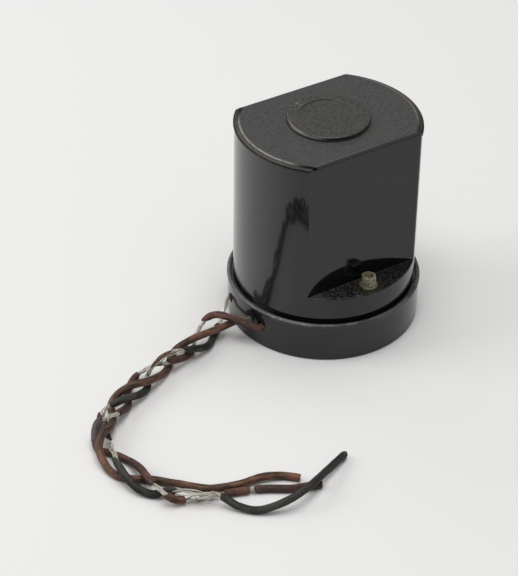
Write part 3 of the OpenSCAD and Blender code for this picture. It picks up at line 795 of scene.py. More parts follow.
core_finishes = [tinned_copper("tinned_copper"), *rubbers]
print(len(core_finishes), "finishes for the cores")

# %% [markdown]
# ## What a core is
#
# Each core goes from its terminal inside the base, out through its own hole in the base's wall
# and round the other two, down to its cut end on the floor. All three are put on the case's
# body in the same way, and each hides the CAD solid that it stands for. Their CAD solids are
# plain tubes, which a finish alone couldn't tear open.


def declare_core(piece, name):
    """Puts the piece on the case's body and hides the CAD solid that it stands for."""
    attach(piece, "case")
    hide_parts(name + "_core")


# %% [markdown]
# ## Brown core
#
# The strands run the whole way, and the sleeves are what is left of the rubber. Places are
# given as points of the route, so 7 is the point after the first seven. Each line below is one
# piece of rubber, so a piece can be moved or torn anew without touching the rest. The brown
# core has kept nearly all of its rubber, with a pale split shell where it leaves the base.

# %% Brown core
brown = OldCore(brown_line, seed=1.0)
brown.strands()
brown.sleeve(0.4, 2.9, BROWN)
brown.sleeve(2.6, 4.05, PALE, way=(60, 330), lift=0.25, closing=(0.2, 0.6), ragged=0.8)
brown.sleeve(3.2, 16.2, BROWN, first_cut=(1.2, 60), swell=0.02)
brown.sleeve(16.3, 30, BROWN, last_cut=(0.3, 90), swell=0.03, ragged=0.2)
declare_core(brown.make("brown_core_cord", core_finishes), "brown")

# %% [markdown]
# ## Red core
#
# It has lost much of its rubber: six lengths of it are bare, and one of its pieces is only a
# split shell. Close to the base it has a slit through which the strands show. Where it is bare
# its strands have come apart, most of all in the fifth length, where they bow out wide. It is
# made like the brown core, with a seed of its own, so that no lump is the same on both.

# %% Red core
red = OldCore(red_line, seed=2.0)
red.strands(loose=[(6.8, 9.4, 0.6), (10.8, 13.2, 0.8), (15.8, 17.2, 0.6), (24.0, 25.2, 0.6),
                   (26.8, 29.4, 1.9), (29.8, 30.8, 0.3)])
red.sleeve(0.4, 3.2, RED)
red.sleeve(3.25, 4.3, RED, way=(218, 548), ragged=0.15)
red.sleeve(4.35, 7.0, RED, last_cut=(2.8, 60))
red.sleeve(9.2, 11, RED, first_cut=(1, 90), last_cut=(2, 90), ragged=0.6)
red.sleeve(13.0, 16, RED, first_cut=(1.5, 90), last_cut=(1, 90), ragged=0.6)
red.sleeve(17.75, 20.3, VIOLET, way=(-160, 190), first_cut=(1.5, 60), closing=(0.1, 0.6), ragged=0.5)
red.sleeve(20.0, 24.2, RED, first_cut=(2.5, -90), last_cut=(0.8, 90))
red.sleeve(25.4, 26.8, BROWN, first_cut=(1.5, -60), last_cut=(1.2, 45), swell=0.1, ragged=1.0)
red.sleeve(29.25, 30.0, RED, first_cut=(0.8, 90), last_cut=(1.2, 60))
red.sleeve(30.6, 34, RED, first_cut=(1.8, 70), last_cut=(0.3, 90), ragged=0.2)
declare_core(red.make("red_core_cord", core_finishes), "red")

# %% [markdown]
# ## Grey core
#
# It has lost the most. It leaves the base bare, and its rubber comes in short stiff pieces with
# pointed or slanted ends, some of them only slivers on one side. Slivers are sleeves too, over
# a small part of the way round and closing to a point. The last piece is the longest, and it
# lies over the other two cores.

# %% Grey core
grey = OldCore(grey_line, seed=3.0)
grey.strands(loose=[(2.9, 5.7, 0.5), (8.0, 11.9, 1.1), (14.2, 16.0, 0.9), (17.3, 19.6, 0.9),
                    (22.2, 26.5, 2.0)])
grey.sleeve(0.4, 2.8, GREY)
grey.sleeve(5.6, 8.2, GREY, first_cut=(1.5, 90), last_cut=(1.6, 60), ragged=0.6)
grey.sleeve(8.9, 10.3, BROWN, way=(80, 150), closing=(0.7, 0.9), lift=0.2, ragged=0.6)
grey.sleeve(11.7, 14.4, GREY, way=(-130, 190), first_cut=(2.5, 30), last_cut=(2.5, 120), ragged=0.8)
grey.sleeve(15.35, 16.6, VIOLET, way=(-60, 160), closing=(0.88, 0.2), lift=0.8, ragged=0.2)
grey.sleeve(16.8, 17.5, GREY, way=(40, 200), closing=(0.2, 0.9), ragged=0.6)
grey.sleeve(19.3, 22.3, GREY, first_cut=(6.5, 10), last_cut=(6.5, -10), swell=0.08)
grey.sleeve(22.8, 23.4, GREY, way=(-60, 200), ragged=0.9)
grey.sleeve(26.3, 33, GREY, first_cut=(2.4, 60), last_cut=(0.8, 60), ragged=0.6)
declare_core(grey.make("grey_core_cord", core_finishes), "grey")

# %% [markdown]
# ## Brass gone dull
#
# Two long brass screws come up from under the base, through its bosses and the ledges, and two
# nuts on them draw the case together. The brass has gone olive, and the nut's bore and the
# screw's end in it are painted dark brown as shade. The shade is placed by the distance from a
# screw's axis, which the material works out for itself, so nuts and screws can share it and no
# mask is painted.

# %% Brass finish
nut_low, nut_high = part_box("rear_nut")
screw_y = (nut_low.y + nut_high.y) / 2
BRASS_SHADOW = (0.13, 0.12, 0.065)
BRASS_OLIVE = (0.25, 0.24, 0.15)
BRASS_RUBBED = (0.34, 0.33, 0.23)
BRASS_BORE_SHADE = (0.05, 0.032, 0.018)
bore_shade_r = 2.1 * MM
bore_shade_edge = 0.25 * MM


def old_brass(name):
    """Brass gone dull and olive, with painted shade in dark brown in the nut's bore and on the screw's end.
    """
    f = Finish(name, Metallic=0.35)
    patches = f.noise(1.6 * MM, detail=3, roughness=0.6)
    grain = f.noise(0.25 * MM, detail=2)
    colour = f.mix(f.ramp(patches, 0.34, 0.52), BRASS_SHADOW, BRASS_OLIVE)
    colour = f.mix(f.ramp(patches, 0.52, 0.7), colour, BRASS_RUBBED)
    x, y, z = f.split(f.place)
    from_screw = f.distance(x, f.math("SUBTRACT", f.math("ABSOLUTE", y), screw_y))
    near_screw = f.fade(from_screw, bore_shade_r, bore_shade_r + bore_shade_edge)
    # painted shade: dark brown near the screw's axis, in the nut's bore and on the screw's end
    bore_shade = f.times(near_screw, f.ramp(patches, 0.3, 0.6, 0.95, 0.6))
    f.set("Base Color", f.mix(bore_shade, colour, BRASS_BORE_SHADE))
    f.set("Roughness", f.vary(patches, 0.65, 0.5))
    f.set("Normal", f.bump(f.math("ADD", patches, f.times(grain, 0.4)), 0.08 * MM))
    return f.material


brass_finish = old_brass("tarnished_brass")
print("screws at y", round(screw_y, 4), "m and its negative")

# %% [markdown]
# ## The thread
#
# The threads are cut, which the CAD leaves plain, so screws and nuts are made again here as
# stacks of rings. A thread is a ring whose radius rises and falls with height and angle
# together. A screw modifier could sweep it too, but with one rule for the screw and for the
# bore of its nut, and the pitch of the joint that lifts a turning nut, they stay in mesh.

# %% Thread
thread_pitch = 2 * math.pi / abs(frame["record"]["behaviour"]["couplings"][0]["ratio"])
thread_outer = 1.8 * MM
thread_root = 1.42 * MM
thread_gap = 0.05 * MM
thread_steepness = 1.3
rings_per_turn = 8


def thread_radius(z, angle, root, outer):
    """Radius of a right-hand thread at a height and at an angle in degrees."""
    wave = np.abs(2 * np.mod(z / thread_pitch - angle / 360, 1) - 1)
    height = thread_steepness * (wave - 0.5) + 0.5
    return root + (outer - root) * np.clip(height, 0, 1)


def thread_heights(low, high):
    """Heights of the rings of a thread, as a column."""
    return np.linspace(low, high, int((high - low) / thread_pitch * rings_per_turn) + 1)[:, None]


print("pitch", round(thread_pitch, 6), "m")

# %% [markdown]
# ## Rings round an axis
#
# A nut or a screw is one grid of rings. Its points are worked out round the upright axis
# through the middle of the scene, then moved over the node that it stands for, and the finished
# piece rides on that node's body, so a nut still turns and rises with its joint.

# %% Helpers for turned pieces
def ring(radius, angle, z):
    """Points at a radius, an angle in degrees and a height."""
    radius, angle, z = np.broadcast_arrays(radius, np.radians(angle), z)
    return np.stack([radius * np.cos(angle), radius * np.sin(angle), z], -1)


def stand_for(shape, node_name):
    """Makes the piece over its node's place, riding on the node's own body."""
    low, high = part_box(node_name)
    centre = np.array(((low.x + high.x) / 2, (low.y + high.y) / 2, 0))
    shape.points = [points + centre for points in shape.points]
    piece = shape.make(node_name + "_threaded", [brass_finish])
    body = next(name for name, members in frame["record"]["behaviour"]["bodies"].items()
                if node_name in members)
    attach(piece, body)
    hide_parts(node_name)
    print(piece.name, "rides on", body)


print("a ring of four:", ring(1.0, np.arange(0, 360, 90), 0.0).round(3).tolist())

# %% [markdown]
# ## Nuts
#
# A hexagon nut turned from bar: the lathe's chamfer cuts each upper corner to an arc. Cutting a
# prism with a cone would do it, but here the rings can follow the shape: they go up the
# outside, over the top and down the threaded bore, and the last one is joined to the first.

# %% Nuts
nut_ring_step = 5.0
mouth = thread_outer + 0.2 * MM
chamfer_share = 0.87
top_drop = 0.03 * MM
nut_bevel = 0.12 * MM


def case_nut(node_name):
    """A chamfered hexagon nut with a threaded bore."""
    low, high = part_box(node_name)
    angle = np.arange(0, 360, nut_ring_step)
    flat = (high.y - low.y) / 2
    hexagon = flat / np.cos(np.radians(np.mod(angle, 60) - 30))
    top_r = chamfer_share * flat
    outside = [ring(r, angle, z) for r, z in (
        (mouth, low.z), (hexagon - nut_bevel, low.z), (hexagon, low.z + nut_bevel),
        (hexagon, high.z - (hexagon - top_r) / 2), (top_r, high.z - top_drop),
        (top_r - nut_bevel, high.z), (mouth, high.z))]
    z = thread_heights(low.z, high.z)[-2:0:-1]
    bore = thread_radius(z, angle, thread_root + thread_gap, thread_outer + thread_gap)
    bore = np.maximum(bore, mouth - np.minimum(z - low.z, high.z - z))
    rings = np.concatenate([np.stack(outside), ring(bore, angle, z)])
    nut = PieceMesh()
    index = nut.add_grid(rings, rings, True, 0)
    nut.join(index[0], index[-1], True, 0)
    stand_for(nut, node_name)


for node_name in ("front_nut", "rear_nut"):
    case_nut(node_name)

# %% [markdown]
# ## Screws
#
# The countersunk head is slotted. No cutting is needed for the slot: the rings of the head
# leave the two gaps where it runs out, and its walls and floor are added as faces of their own.

# %% Rings of a case screw
slot_half = 0.5 * MM
slot_depth = 0.8 * MM
end_chamfer = 0.4 * MM
thread_length = 11 * MM
half_ring = 24


def slotted_angles(radius):
    """Angles of a ring's two halves, which start and end at the slot's two edges."""
    gap = math.degrees(math.asin(slot_half / radius))
    half_turn = np.linspace(gap, 180 - gap, half_ring)
    return np.concatenate([half_turn, half_turn + 180])


def screw_rings(low, high):
    """Rings from the head, which is underneath, up the shank and the thread to the end."""
    head_r = (high.y - low.y) / 2
    thread_low = high.z - thread_length
    head = [(head_r, 0), (head_r - slot_depth, slot_depth)]
    neck = [(thread_outer, head_r - thread_outer), (thread_outer, thread_low - low.z)]
    plain = [ring(r, slotted_angles(r), low.z + h) for r, h in head + neck]
    z = thread_heights(thread_low, high.z)[1:]
    angle = slotted_angles(thread_outer)
    radius = thread_radius(z, angle, thread_root, thread_outer)
    radius = np.minimum(radius, thread_outer - end_chamfer + high.z - z)
    return np.concatenate([np.stack(plain), ring(radius, angle, z)])


print(len(screw_rings(*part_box("front_case_screw"))), "rings in a screw")

# %% [markdown]
# ## Closing a screw
#
# The first two rings are the head's rim and the depth of the slot. Between them the faces
# where the slot runs out are taken away again. The two halves of the head, the screw's other
# end, the slot's floor and its two walls are closed with one flat face each.

# %% Case screws
def case_screw(node_name):
    """A slotted countersunk screw, closed at both ends."""
    rings = screw_rings(*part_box(node_name))
    screw = PieceMesh()
    index = screw.add_grid(rings, rings, True, 0)
    run_outs = [half_ring - 1, 2 * half_ring - 1]
    screw.faces[0] = np.delete(screw.faces[0], run_outs, axis=0)
    screw.finish[0] = np.delete(screw.finish[0], run_outs)
    edges = [0, half_ring - 1, half_ring, -1]
    low_edges, deep_edges = index[0, edges], index[1, edges]
    for face in (index[0, :half_ring], index[0, half_ring:], index[-1], deep_edges,
                 [*low_edges[:2], *deep_edges[1::-1]], [*low_edges[2:], *deep_edges[:1:-1]]):
        screw.cap(face, 0)
    stand_for(screw, node_name)


for node_name in ("front_case_screw", "rear_case_screw"):
    case_screw(node_name)

# %% [markdown]
# ## The black case
#
# The base and the housing are pressed from black phenolic resin. Their sides keep the mould's
# gloss, while the top and the two ledges are grey with years of dust and small knocks. Both
# are the CAD's own meshes, so only a material is made, and it finds each zone by the height
# and the direction of the surface: up is dusty, sideways is glossy, and the rounded edges
# between them carry a light line, partly worn and partly a painted highlight.

# %% Sizes of the case
housing_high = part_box("housing")[1]
base_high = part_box("base")[1]
disc_rise = 2.1 * MM
slope_width = 2.9 * MM
bead_width = 2.2 * MM
top_z = housing_high.z - disc_rise
ledge_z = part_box("front_washer")[0].z
housing_r = 42.5 * MM
flat_y = 30.3 * MM
ridge_r = housing_high.x - slope_width
bead_inner = base_high.x - bead_width
disc_r = 18.9 * MM
disc_border = 5 * MM
step_r = disc_r - disc_border
print("top", round(top_z, 4), "ledge", round(ledge_z, 4), "ridge", round(ridge_r, 4))

# %% [markdown]
# ## Resin
#
# Both pieces start as the same black. A coat over the gloss, rougher than the resin itself,
# stands for fine scratches: it sends light on at a low angle, as a worn polish does. Two
# shaders could be mixed for this, but the Principled shader has such a coat already.

# %% Resin finish
RESIN = (0.0052, 0.0053, 0.0058)
case_relief = 0.08 * MM


def black_resin(name):
    """Glossy black, with a thin haze of scratches that shows at a low angle."""
    return Finish(name, IOR=1.48, Coat_Roughness=0.36, Coat_IOR=1.5)


def dress(node_name, material):
    """Puts the material on the CAD's own mesh."""
    nodes[node_name].data.materials.clear()
    nodes[node_name].data.materials.append(material)
    print(node_name, "wears", material.name)


print("resin", RESIN)

# %% [markdown]
# ## Patterns of the housing
#
# Its zones follow how such a case ages. The flats and round sides stay glossy, and the
# horizontal faces hold dust. The ridge round the top is where hands and watches rub, so it is
# worn to a pale line with a painted highlight on it, and the disc's edge has a painted highlight
# on its left. First come the things that all zones use: where a point is, which way its surface
# faces, and four sizes of noise.

# %% Housing patterns
f = black_resin("housing_resin")
x, y, z = f.split(f.place)
faces_x, faces_y, faces_up = f.facing()
faces_left = f.math("ADD", f.times(faces_x, -0.94), f.times(faces_y, -0.34))
off_middle = f.math("ABSOLUTE", y)
from_axis = f.distance(x, y)
from_screw = f.distance(x, f.math("SUBTRACT", off_middle, screw_y))
grain = f.noise(0.35 * MM, detail=2)
fine = f.noise(1.4 * MM, detail=4, roughness=0.8)
blotch = f.noise(3.2 * MM, detail=5, roughness=0.65)
cloud = f.noise(14 * MM, detail=4)
mottled = f.ramp(fine, 0.38, 0.62)
print("housing patterns take", len(f.tree.nodes), "nodes")

# %% [markdown]
# ## Zones of the housing
#
# Each zone is a share that is 1 on its own surface and fades out over a few tenths of a
# millimetre. Faces could be picked one by one in edit mode and given materials of their own,
# but then a zone could only end where a face does, and never softly.

# %% Housing zones
on_flat = f.ramp(f.math("ABSOLUTE", faces_y), 0.8, 0.95)
on_top = f.times(f.ramp(faces_up, 0.96, 0.99), f.ramp(z, top_z - 0.6 * MM, top_z - 0.2 * MM))
near_top = f.ramp(z, top_z - 1.6 * MM, top_z - 1.3 * MM)
on_slope = f.times(near_top, f.ramp(from_axis, ridge_r, ridge_r + 0.4 * MM), f.ramp(faces_up, 0.5, 0.8))
on_ridge = f.times(near_top, f.band(from_axis, ridge_r - 0.15 * MM, ridge_r + 0.4 * MM, 0.25 * MM))
on_lip = f.times(near_top, f.ramp(from_axis, housing_r - 0.3 * MM, housing_r))
on_ledge = f.times(f.ramp(faces_up, 0.25, 0.6), f.band(z, ledge_z - 1 * MM, ledge_z + 1 * MM, 1 * MM))
above_top = f.ramp(z, top_z + 0.02 * MM, top_z + 0.05 * MM)
on_disc = f.times(above_top, f.fade(from_axis, disc_r, disc_r + 0.1 * MM))
on_disc_wall = f.times(on_disc, f.fade(faces_up, 0.2, 0.6))
on_disc_edge = f.times(f.band(from_axis, disc_r - 0.5 * MM, disc_r, 0.2 * MM), on_disc)
near_flat_edge = f.ramp(off_middle, flat_y - 1.8 * MM, flat_y - 1.5 * MM)
on_flat_edge = f.times(near_flat_edge, f.band(faces_up, 0.4, 0.75, 0.12))
print("and with its zones", len(f.tree.nodes))

# %% [markdown]
# ## Sides and flats
#
# The colours are laid over each other from the bare resin up. The sides are bare but for a few
# grey specks. The rounded edge over each flat is rubbed grey, and the flats' right end has a
# painted highlight where a rounded corner would catch light. The specks could be grains on the
# surface, but they are too fine to be more than a colour.

# %% Colour of the sides
SPECK = (0.07, 0.07, 0.065)
RUBBED_EDGE = (0.032, 0.032, 0.034)
FLAT_END_HIGHLIGHT = (0.13, 0.105, 0.09)
right_end_highlight = f.times(on_flat, f.ramp(x, 29.0 * MM, 29.5 * MM))
specks = f.ramp(f.noise(0.9 * MM, detail=2, roughness=0.4), 0.72, 0.76)
colour = f.mix(f.times(specks, 0.4), RESIN, SPECK)
colour = f.mix(on_flat_edge, colour, RUBBED_EDGE)
# painted highlight along the flats' right end, where a rounded corner would catch light
colour = f.mix(f.times(right_end_highlight, 0.8), colour, FLAT_END_HIGHLIGHT)
print("sides coloured")

# %% [markdown]
# ## Top face
#
# An even grey dust, mottled by fine knocks, with large duller clouds. The corner at the foot of
# the disc is darkened with painted shade. Dust could be a material of its own, but as a share of
# colour it can thin out and let the black through.

# %% Colour of the top
TOP_DARK, TOP_LIGHT = (0.0265, 0.025, 0.026), (0.059, 0.055, 0.055)
TOP_CLOUD = (0.045, 0.045, 0.041)
FOOT_SHADE = (0.009, 0.009, 0.008)
at_foot = f.band(from_axis, disc_r, disc_r + 0.2 * MM, 0.12 * MM)
top_colour = f.mix(mottled, TOP_DARK, TOP_LIGHT)
top_colour = f.mix(f.times(f.ramp(cloud, 0.4, 0.65), 0.5), top_colour, TOP_CLOUD)
# painted shade in the corner at the foot of the disc
top_colour = f.mix(f.times(at_foot, 0.75), top_colour, FOOT_SHADE)
colour = f.mix(on_top, colour, top_colour)
print("top coloured")

# %% [markdown]
# ## Slope and ridge
#
# The band that slopes from the lip up to the ridge is dusty in its middle and cleaner towards
# the flats. The ridge is rubbed pale, and a painted highlight makes it paler still on its left.
# In the corners at the left, and at the lip, the resin is black and shaded. Worn edges are often
# found by how pointed the mesh is, but that changes with the mesh's points, while a radius and
# a height don't.

# %% Colour of the slope and ridge
SLOPE_DARK, SLOPE_LIGHT = (0.024, 0.0215, 0.018), (0.06, 0.054, 0.045)
RIDGE_WORN, RIDGE_HIGHLIGHT_LEFT = (0.15, 0.135, 0.1), (0.32, 0.3, 0.26)
SHADE = (0.003, 0.0026, 0.002)
in_middle = f.fade(off_middle, 8 * MM, flat_y + 1.5 * MM)
colour = f.mix(f.times(on_slope, in_middle), colour, f.mix(mottled, SLOPE_DARK, SLOPE_LIGHT))
worn_and_lit = f.times(f.fade(off_middle, 18 * MM, 27 * MM), f.ramp(blotch, 0.35, 0.55, 0.35, 1.0))
# the ridge is worn pale, with a painted highlight where it faces left
ridge_wear_and_highlight = f.mix(f.ramp(faces_left, 0.15, 0.3), RIDGE_WORN, RIDGE_HIGHLIGHT_LEFT)
colour = f.mix(f.times(on_ridge, worn_and_lit), colour, ridge_wear_and_highlight)
valley = f.times(near_top, f.band(from_axis, ridge_r - 0.2 * MM, ridge_r + 1 * MM, 0.3 * MM))
in_corner = f.times(valley, f.ramp(off_middle, 21 * MM, 28 * MM), f.fade(x, -20 * MM, 0.0))
shaded = f.math("MAXIMUM", f.times(in_corner, 0.95), f.times(on_lip, 0.8))
colour = f.mix(shaded, colour, SHADE)
print("slope and ridge coloured")

# %% [markdown]
# ## Face of the work disc
#
# Watches are laid here, so its dust is browner and patchy. The rounded step between the flat
# border and the shallow centre is a little paler, with dust and with painted light that lifts
# the step's shade, and at one place on the border, behind and to the left, small chips show bare
# pale filler. They could be cut into the mesh, but they are too shallow for that to show.

# %% Colour of the disc
DISC_DARK, DISC_LIGHT = (0.019, 0.0185, 0.0155), (0.052, 0.05, 0.0435)
DISC_BLOTCH = (0.055, 0.049, 0.043)
DISC_STEP_DUST_AND_LIGHT = (0.062, 0.052, 0.04)
CHIPPED = (0.3, 0.28, 0.2)
chips_x, chips_y = -7 * MM, 16.5 * MM
on_step = f.band(from_axis, step_r - 0.3 * MM, step_r + 0.2 * MM, 0.3 * MM)
disc_colour = f.mix(mottled, DISC_DARK, DISC_LIGHT)
disc_colour = f.mix(f.times(f.ramp(blotch, 0.5, 0.62), 0.35), disc_colour, DISC_BLOTCH)
# the step is paler: dust, and painted light that lifts its shade
disc_colour = f.mix(f.times(on_step, 0.3), disc_colour, DISC_STEP_DUST_AND_LIGHT)
from_chips = f.math("ADD", f.math("ABSOLUTE", f.math("SUBTRACT", x, chips_x)),
                    f.math("ABSOLUTE", f.math("SUBTRACT", y, chips_y)))
chips = f.times(f.fade(from_chips, 3 * MM, 5.5 * MM), f.ramp(fine, 0.53, 0.58))
disc_colour = f.mix(f.times(chips, 0.8), disc_colour, CHIPPED)
colour = f.mix(on_disc, colour, disc_colour)
print("disc coloured")

# %% [markdown]
# ## Edge of the work disc
#
# The disc's low wall has one grey line near its foot, partly dust and partly a painted sheen
# where a moulded foot would catch light, and its upper part has a painted highlight on the left.
# The edge above it has a painted highlight only at its leftmost end. A wall so low needs no mesh
# of its own: heights tell its lines apart.

# %% Colour of the disc's edge
WALL_DUST_AND_SHEEN = (0.05, 0.049, 0.046)
WALL_HIGHLIGHT = (0.26, 0.25, 0.26)
EDGE_HIGHLIGHT = (0.15, 0.14, 0.11)
# grey line near the wall's foot: dust, and a painted sheen
wall_colour = f.mix(f.band(z, top_z + 0.4 * MM, top_z + 0.7 * MM, 0.25 * MM), RESIN, WALL_DUST_AND_SHEEN)
# painted highlight on the upper wall where it faces left
wall_highlight = f.times(f.ramp(faces_left, 0.8, 0.95), f.ramp(z, top_z + 0.7 * MM, top_z + 1.1 * MM))
colour = f.mix(on_disc_wall, colour, f.mix(wall_highlight, wall_colour, WALL_HIGHLIGHT))
# painted highlight on the disc's edge at its leftmost end
leftmost_highlight = f.times(f.fade(x, -18.5 * MM, -16.5 * MM), f.ramp(faces_up, 0.3, 0.6))
colour = f.mix(f.times(on_disc_edge, leftmost_highlight), colour, EDGE_HIGHLIGHT)
print("disc's edge coloured")

# %% [markdown]
# ## Ledges
#
# Dust lies on the two ledges as loose pale granules on black. Round each screw they turn olive,
# the left end is brown, and along the foot of the flat runs a pale line of packed dust. Granules
# could be scattered as small meshes, but a noise with a steep step looks the same and adds
# nothing to the piece's size.

# %% Colour of the ledges
LEDGE_DARK, LEDGE_LIGHT = (0.003, 0.0032, 0.0036), (0.062, 0.062, 0.057)
LEDGE_OLIVE = (0.026, 0.025, 0.011)
LEDGE_LEFT = (0.09, 0.077, 0.063)
PACKED_DUST = (0.08, 0.08, 0.075)
granules = f.noise(1.1 * MM, detail=2, roughness=0.6)
pale = f.times(f.ramp(granules, 0.5, 0.6), f.ramp(x, -20 * MM, 20 * MM, 1.0, 0.4))
# the ledge turns olive round each screw
olive_round_screw = f.times(f.fade(from_screw, 4.4 * MM, 8.5 * MM), f.ramp(granules, 0.36, 0.5, 0.2, 0.75))
left_end = f.fade(x, -25 * MM, -19 * MM)
along_flat = f.fade(off_middle, flat_y, flat_y + 0.4 * MM)
ledge_colour = f.mix(pale, LEDGE_DARK, LEDGE_LIGHT)
ledge_colour = f.mix(olive_round_screw, ledge_colour, LEDGE_OLIVE)
ledge_colour = f.mix(f.times(left_end, 0.5), ledge_colour, LEDGE_LEFT)
ledge_colour = f.mix(f.times(along_flat, 0.8), ledge_colour, PACKED_DUST)
colour = f.mix(on_ledge, colour, ledge_colour)
f.set("Base Color", colour)
print("ledges coloured")

# %% [markdown]
# ## Gloss of the housing
#
# Dust is rough and the resin under it isn't. A zone that is rubbed is smoother than dust but
# duller than new resin. With one roughness for all, either the dust would look wet or the resin
# chalky, so it follows the zones. Where the case is shaded, and on the ledges, it must not
# shine, so the specular level goes down there as well.

# %% Housing roughness
dusty = f.math("ADD", f.math("MAXIMUM", on_top, on_ledge), f.math("MAXIMUM", on_slope, on_disc), clamp=True)
dusty = f.times(dusty, f.math("SUBTRACT", 1.0, on_disc_wall))
dusty = f.math("MAXIMUM", dusty, f.times(on_flat_edge, 0.7))
rubbed = f.math("MAXIMUM", on_ridge, f.times(on_disc_edge, f.fade(faces_up, 0.95, 0.99)))
roughness = f.blend(dusty, f.vary(cloud, 0.05, 0.09), f.vary(blotch, 0.45, 0.62))
f.set("Roughness", f.blend(rubbed, roughness, 0.3))
no_shine = f.math("MAXIMUM", shaded, f.times(on_ledge, 0.7))
f.set("Specular IOR Level", f.blend(no_shine, 0.5, 0.05))
print("roughness set")

# %% [markdown]
# ## Haze and bumps of the housing
#
# The haze of scratches is strong on the round sides, weaker towards the front, and missing
# from the flats and from all dust. Under it the resin has a faint swell, while dust is grainy.
# Bumps are enough for both, because neither changes the outline.

# %% Housing haze and bumps
haze = f.times(f.ramp(faces_y, -0.7, -0.3, 0.15, 0.45), f.math("SUBTRACT", 1.0, on_flat))
f.set("Coat Weight", f.times(haze, f.math("SUBTRACT", 1.0, dusty)))
bumps = f.blend(dusty, f.times(cloud, 0.4), f.math("ADD", fine, f.times(grain, 0.5)))
f.set("Normal", f.bump(bumps, case_relief))
dress("housing", f.material)
print("housing has", len(f.tree.nodes), "nodes")

# %% [markdown]
# ## Dust on the base
#
# The base is of the same resin. Its bead is handled and knocked, so it has brown dust that is
# paler at the left, with a painted highlight in pale streaks along its front left, while the
# rebate inside the bead stays black. A copy of the housing's material wouldn't do, because its
# zones lie at the housing's own heights.

# %% Base dust
f = black_resin("base_resin")
x, y, z = f.split(f.place)
faces_up = f.facing()[2]
from_axis = f.distance(x, y)
fine = f.noise(0.8 * MM, detail=4, roughness=0.7)
blotch = f.noise(4.5 * MM, detail=4, roughness=0.6)
on_bead = f.ramp(from_axis, bead_inner - 0.9 * MM, bead_inner - 0.5 * MM)
near_bead = f.ramp(z, base_high.z - 2.2 * MM, base_high.z - 1.8 * MM)
bead_top = f.times(f.ramp(faces_up, 0.1, 0.6), on_bead, near_bead)
dust = f.times(bead_top, f.ramp(f.math("ADD", fine, blotch), 0.75, 1.1, 0.35, 1.0))
to_front_left = f.math("ADD", f.times(x, -0.82), f.times(y, -0.57))
# painted highlight: pale streaks along the bead's front left
streaks = f.times(f.band(to_front_left, 44.3 * MM, 46 * MM, 1 * MM), f.ramp(fine, 0.45, 0.55))
print("dust takes", len(f.tree.nodes), "nodes")

# %% [markdown]
# ## Base
#
# Its colours and gloss follow the dust. The haze could follow the surface too, as it does on
# the housing, but the base has no flats, so its coat is the same all over and is typed in.
# Its shine is a little weaker than the housing's.

# %% Base finish
BEAD_BROWN, BEAD_GREY = (0.045, 0.041, 0.03), (0.085, 0.083, 0.078)
BEAD_LEFT = (0.12, 0.118, 0.115)
BEAD_HIGHLIGHT = (0.22, 0.215, 0.21)
cloud = f.noise(14 * MM, detail=4)
bead_dust_and_highlight = f.mix(f.ramp(blotch, 0.4, 0.6), BEAD_BROWN, BEAD_GREY)
bead_dust_and_highlight = f.mix(f.fade(x, -30 * MM, -12 * MM), bead_dust_and_highlight, BEAD_LEFT)
bead_dust_and_highlight = f.mix(streaks, bead_dust_and_highlight, BEAD_HIGHLIGHT)
f.set("Base Color", f.mix(dust, RESIN, bead_dust_and_highlight))
f.set("Roughness", f.blend(bead_top, f.vary(cloud, 0.06, 0.1), f.vary(fine, 0.35, 0.6)))
f.set("Coat Weight", 0.2)
f.set("IOR", 1.46)
f.set("Normal", f.bump(f.blend(bead_top, f.times(cloud, 0.5), fine), case_relief))
dress("base", f.material)
print("base has", len(f.tree.nodes), "nodes")

# %% [markdown]
# ## Metal, wire and paper inside
#
# Nothing of the inside shows while the case is shut, but each piece still gets the finish that
# it has on the bench. Two mottled tones and a fine grain are enough for all of them, so one
# function makes them.

# %% A finish in two tones
mottle_size = 2 * MM
mottle_relief = 0.03 * MM
roughness_spread = 0.08


def two_tones(name, dark, light, roughness, metallic=0.0):
    """A finish in two mottled tones with a fine grain."""
    f = Finish(name, Metallic=metallic)
    clouds = f.noise(mottle_size, detail=4)
    grain = f.noise(mottle_size / 6, detail=2)
    smooth, rough = roughness - roughness_spread, roughness + roughness_spread
    f.set("Base Color", f.mix(f.vary(clouds), dark, light))
    f.set("Roughness", f.vary(grain, smooth, rough))
    f.set("Normal", f.bump(f.math("ADD", clouds, grain), mottle_relief))
    return f.material


def dress_all(finishes):
    """Gives each node its own finish, from its name, two tones, roughness and share of metal."""
    for node_name, facts in finishes.items():
        dress(node_name, two_tones(*facts))


print("two tones", round(mottle_size / MM), "mm across")

# %% [markdown]
# ## Core and clamps
#
# The laminations are dark with scale and a little rust at their cut edges. Bolts, nuts and
# screws are bright steel, and the two bent angles that clamp the stack are duller. Pieces could
# share a material, but each gets one of its own, so that one can be changed by itself later.

# %% Core and clamp finishes
BRIGHT_STEEL = ((0.35, 0.35, 0.36), (0.5, 0.49, 0.47), 0.35, 1.0)
BENT_STEEL = ((0.3, 0.3, 0.31), (0.46, 0.44, 0.4), 0.42, 1.0)
dress_all({
    "core_laminations": ("lamination_iron", (0.09, 0.095, 0.11), (0.2, 0.16, 0.13), 0.45, 0.85),
    "core_bolts": ("bolt_steel", *BRIGHT_STEEL),
    "core_nuts": ("nut_steel", (0.33, 0.33, 0.34), (0.5, 0.49, 0.47), 0.35, 1.0),
    "core_washers": ("washer_steel", (0.35, 0.35, 0.36), (0.52, 0.51, 0.5), 0.33, 1.0),
    "front_core_clamp": ("front_clamp_steel", *BENT_STEEL),
    "rear_core_clamp": ("rear_clamp_steel", *BENT_STEEL),
    "clamp_screws": ("clamp_screw_steel", *BRIGHT_STEEL),
})

# %% [markdown]
# ## Coil
#
# The bobbin is folded board, the winding is lacquered copper under cotton tape, and a pad of
# pressboard lies between the poles and the housing. The leads have varnished sleeving. Each
# turn of wire could be modelled, but the winding is hidden by its tape, so its tone is enough.

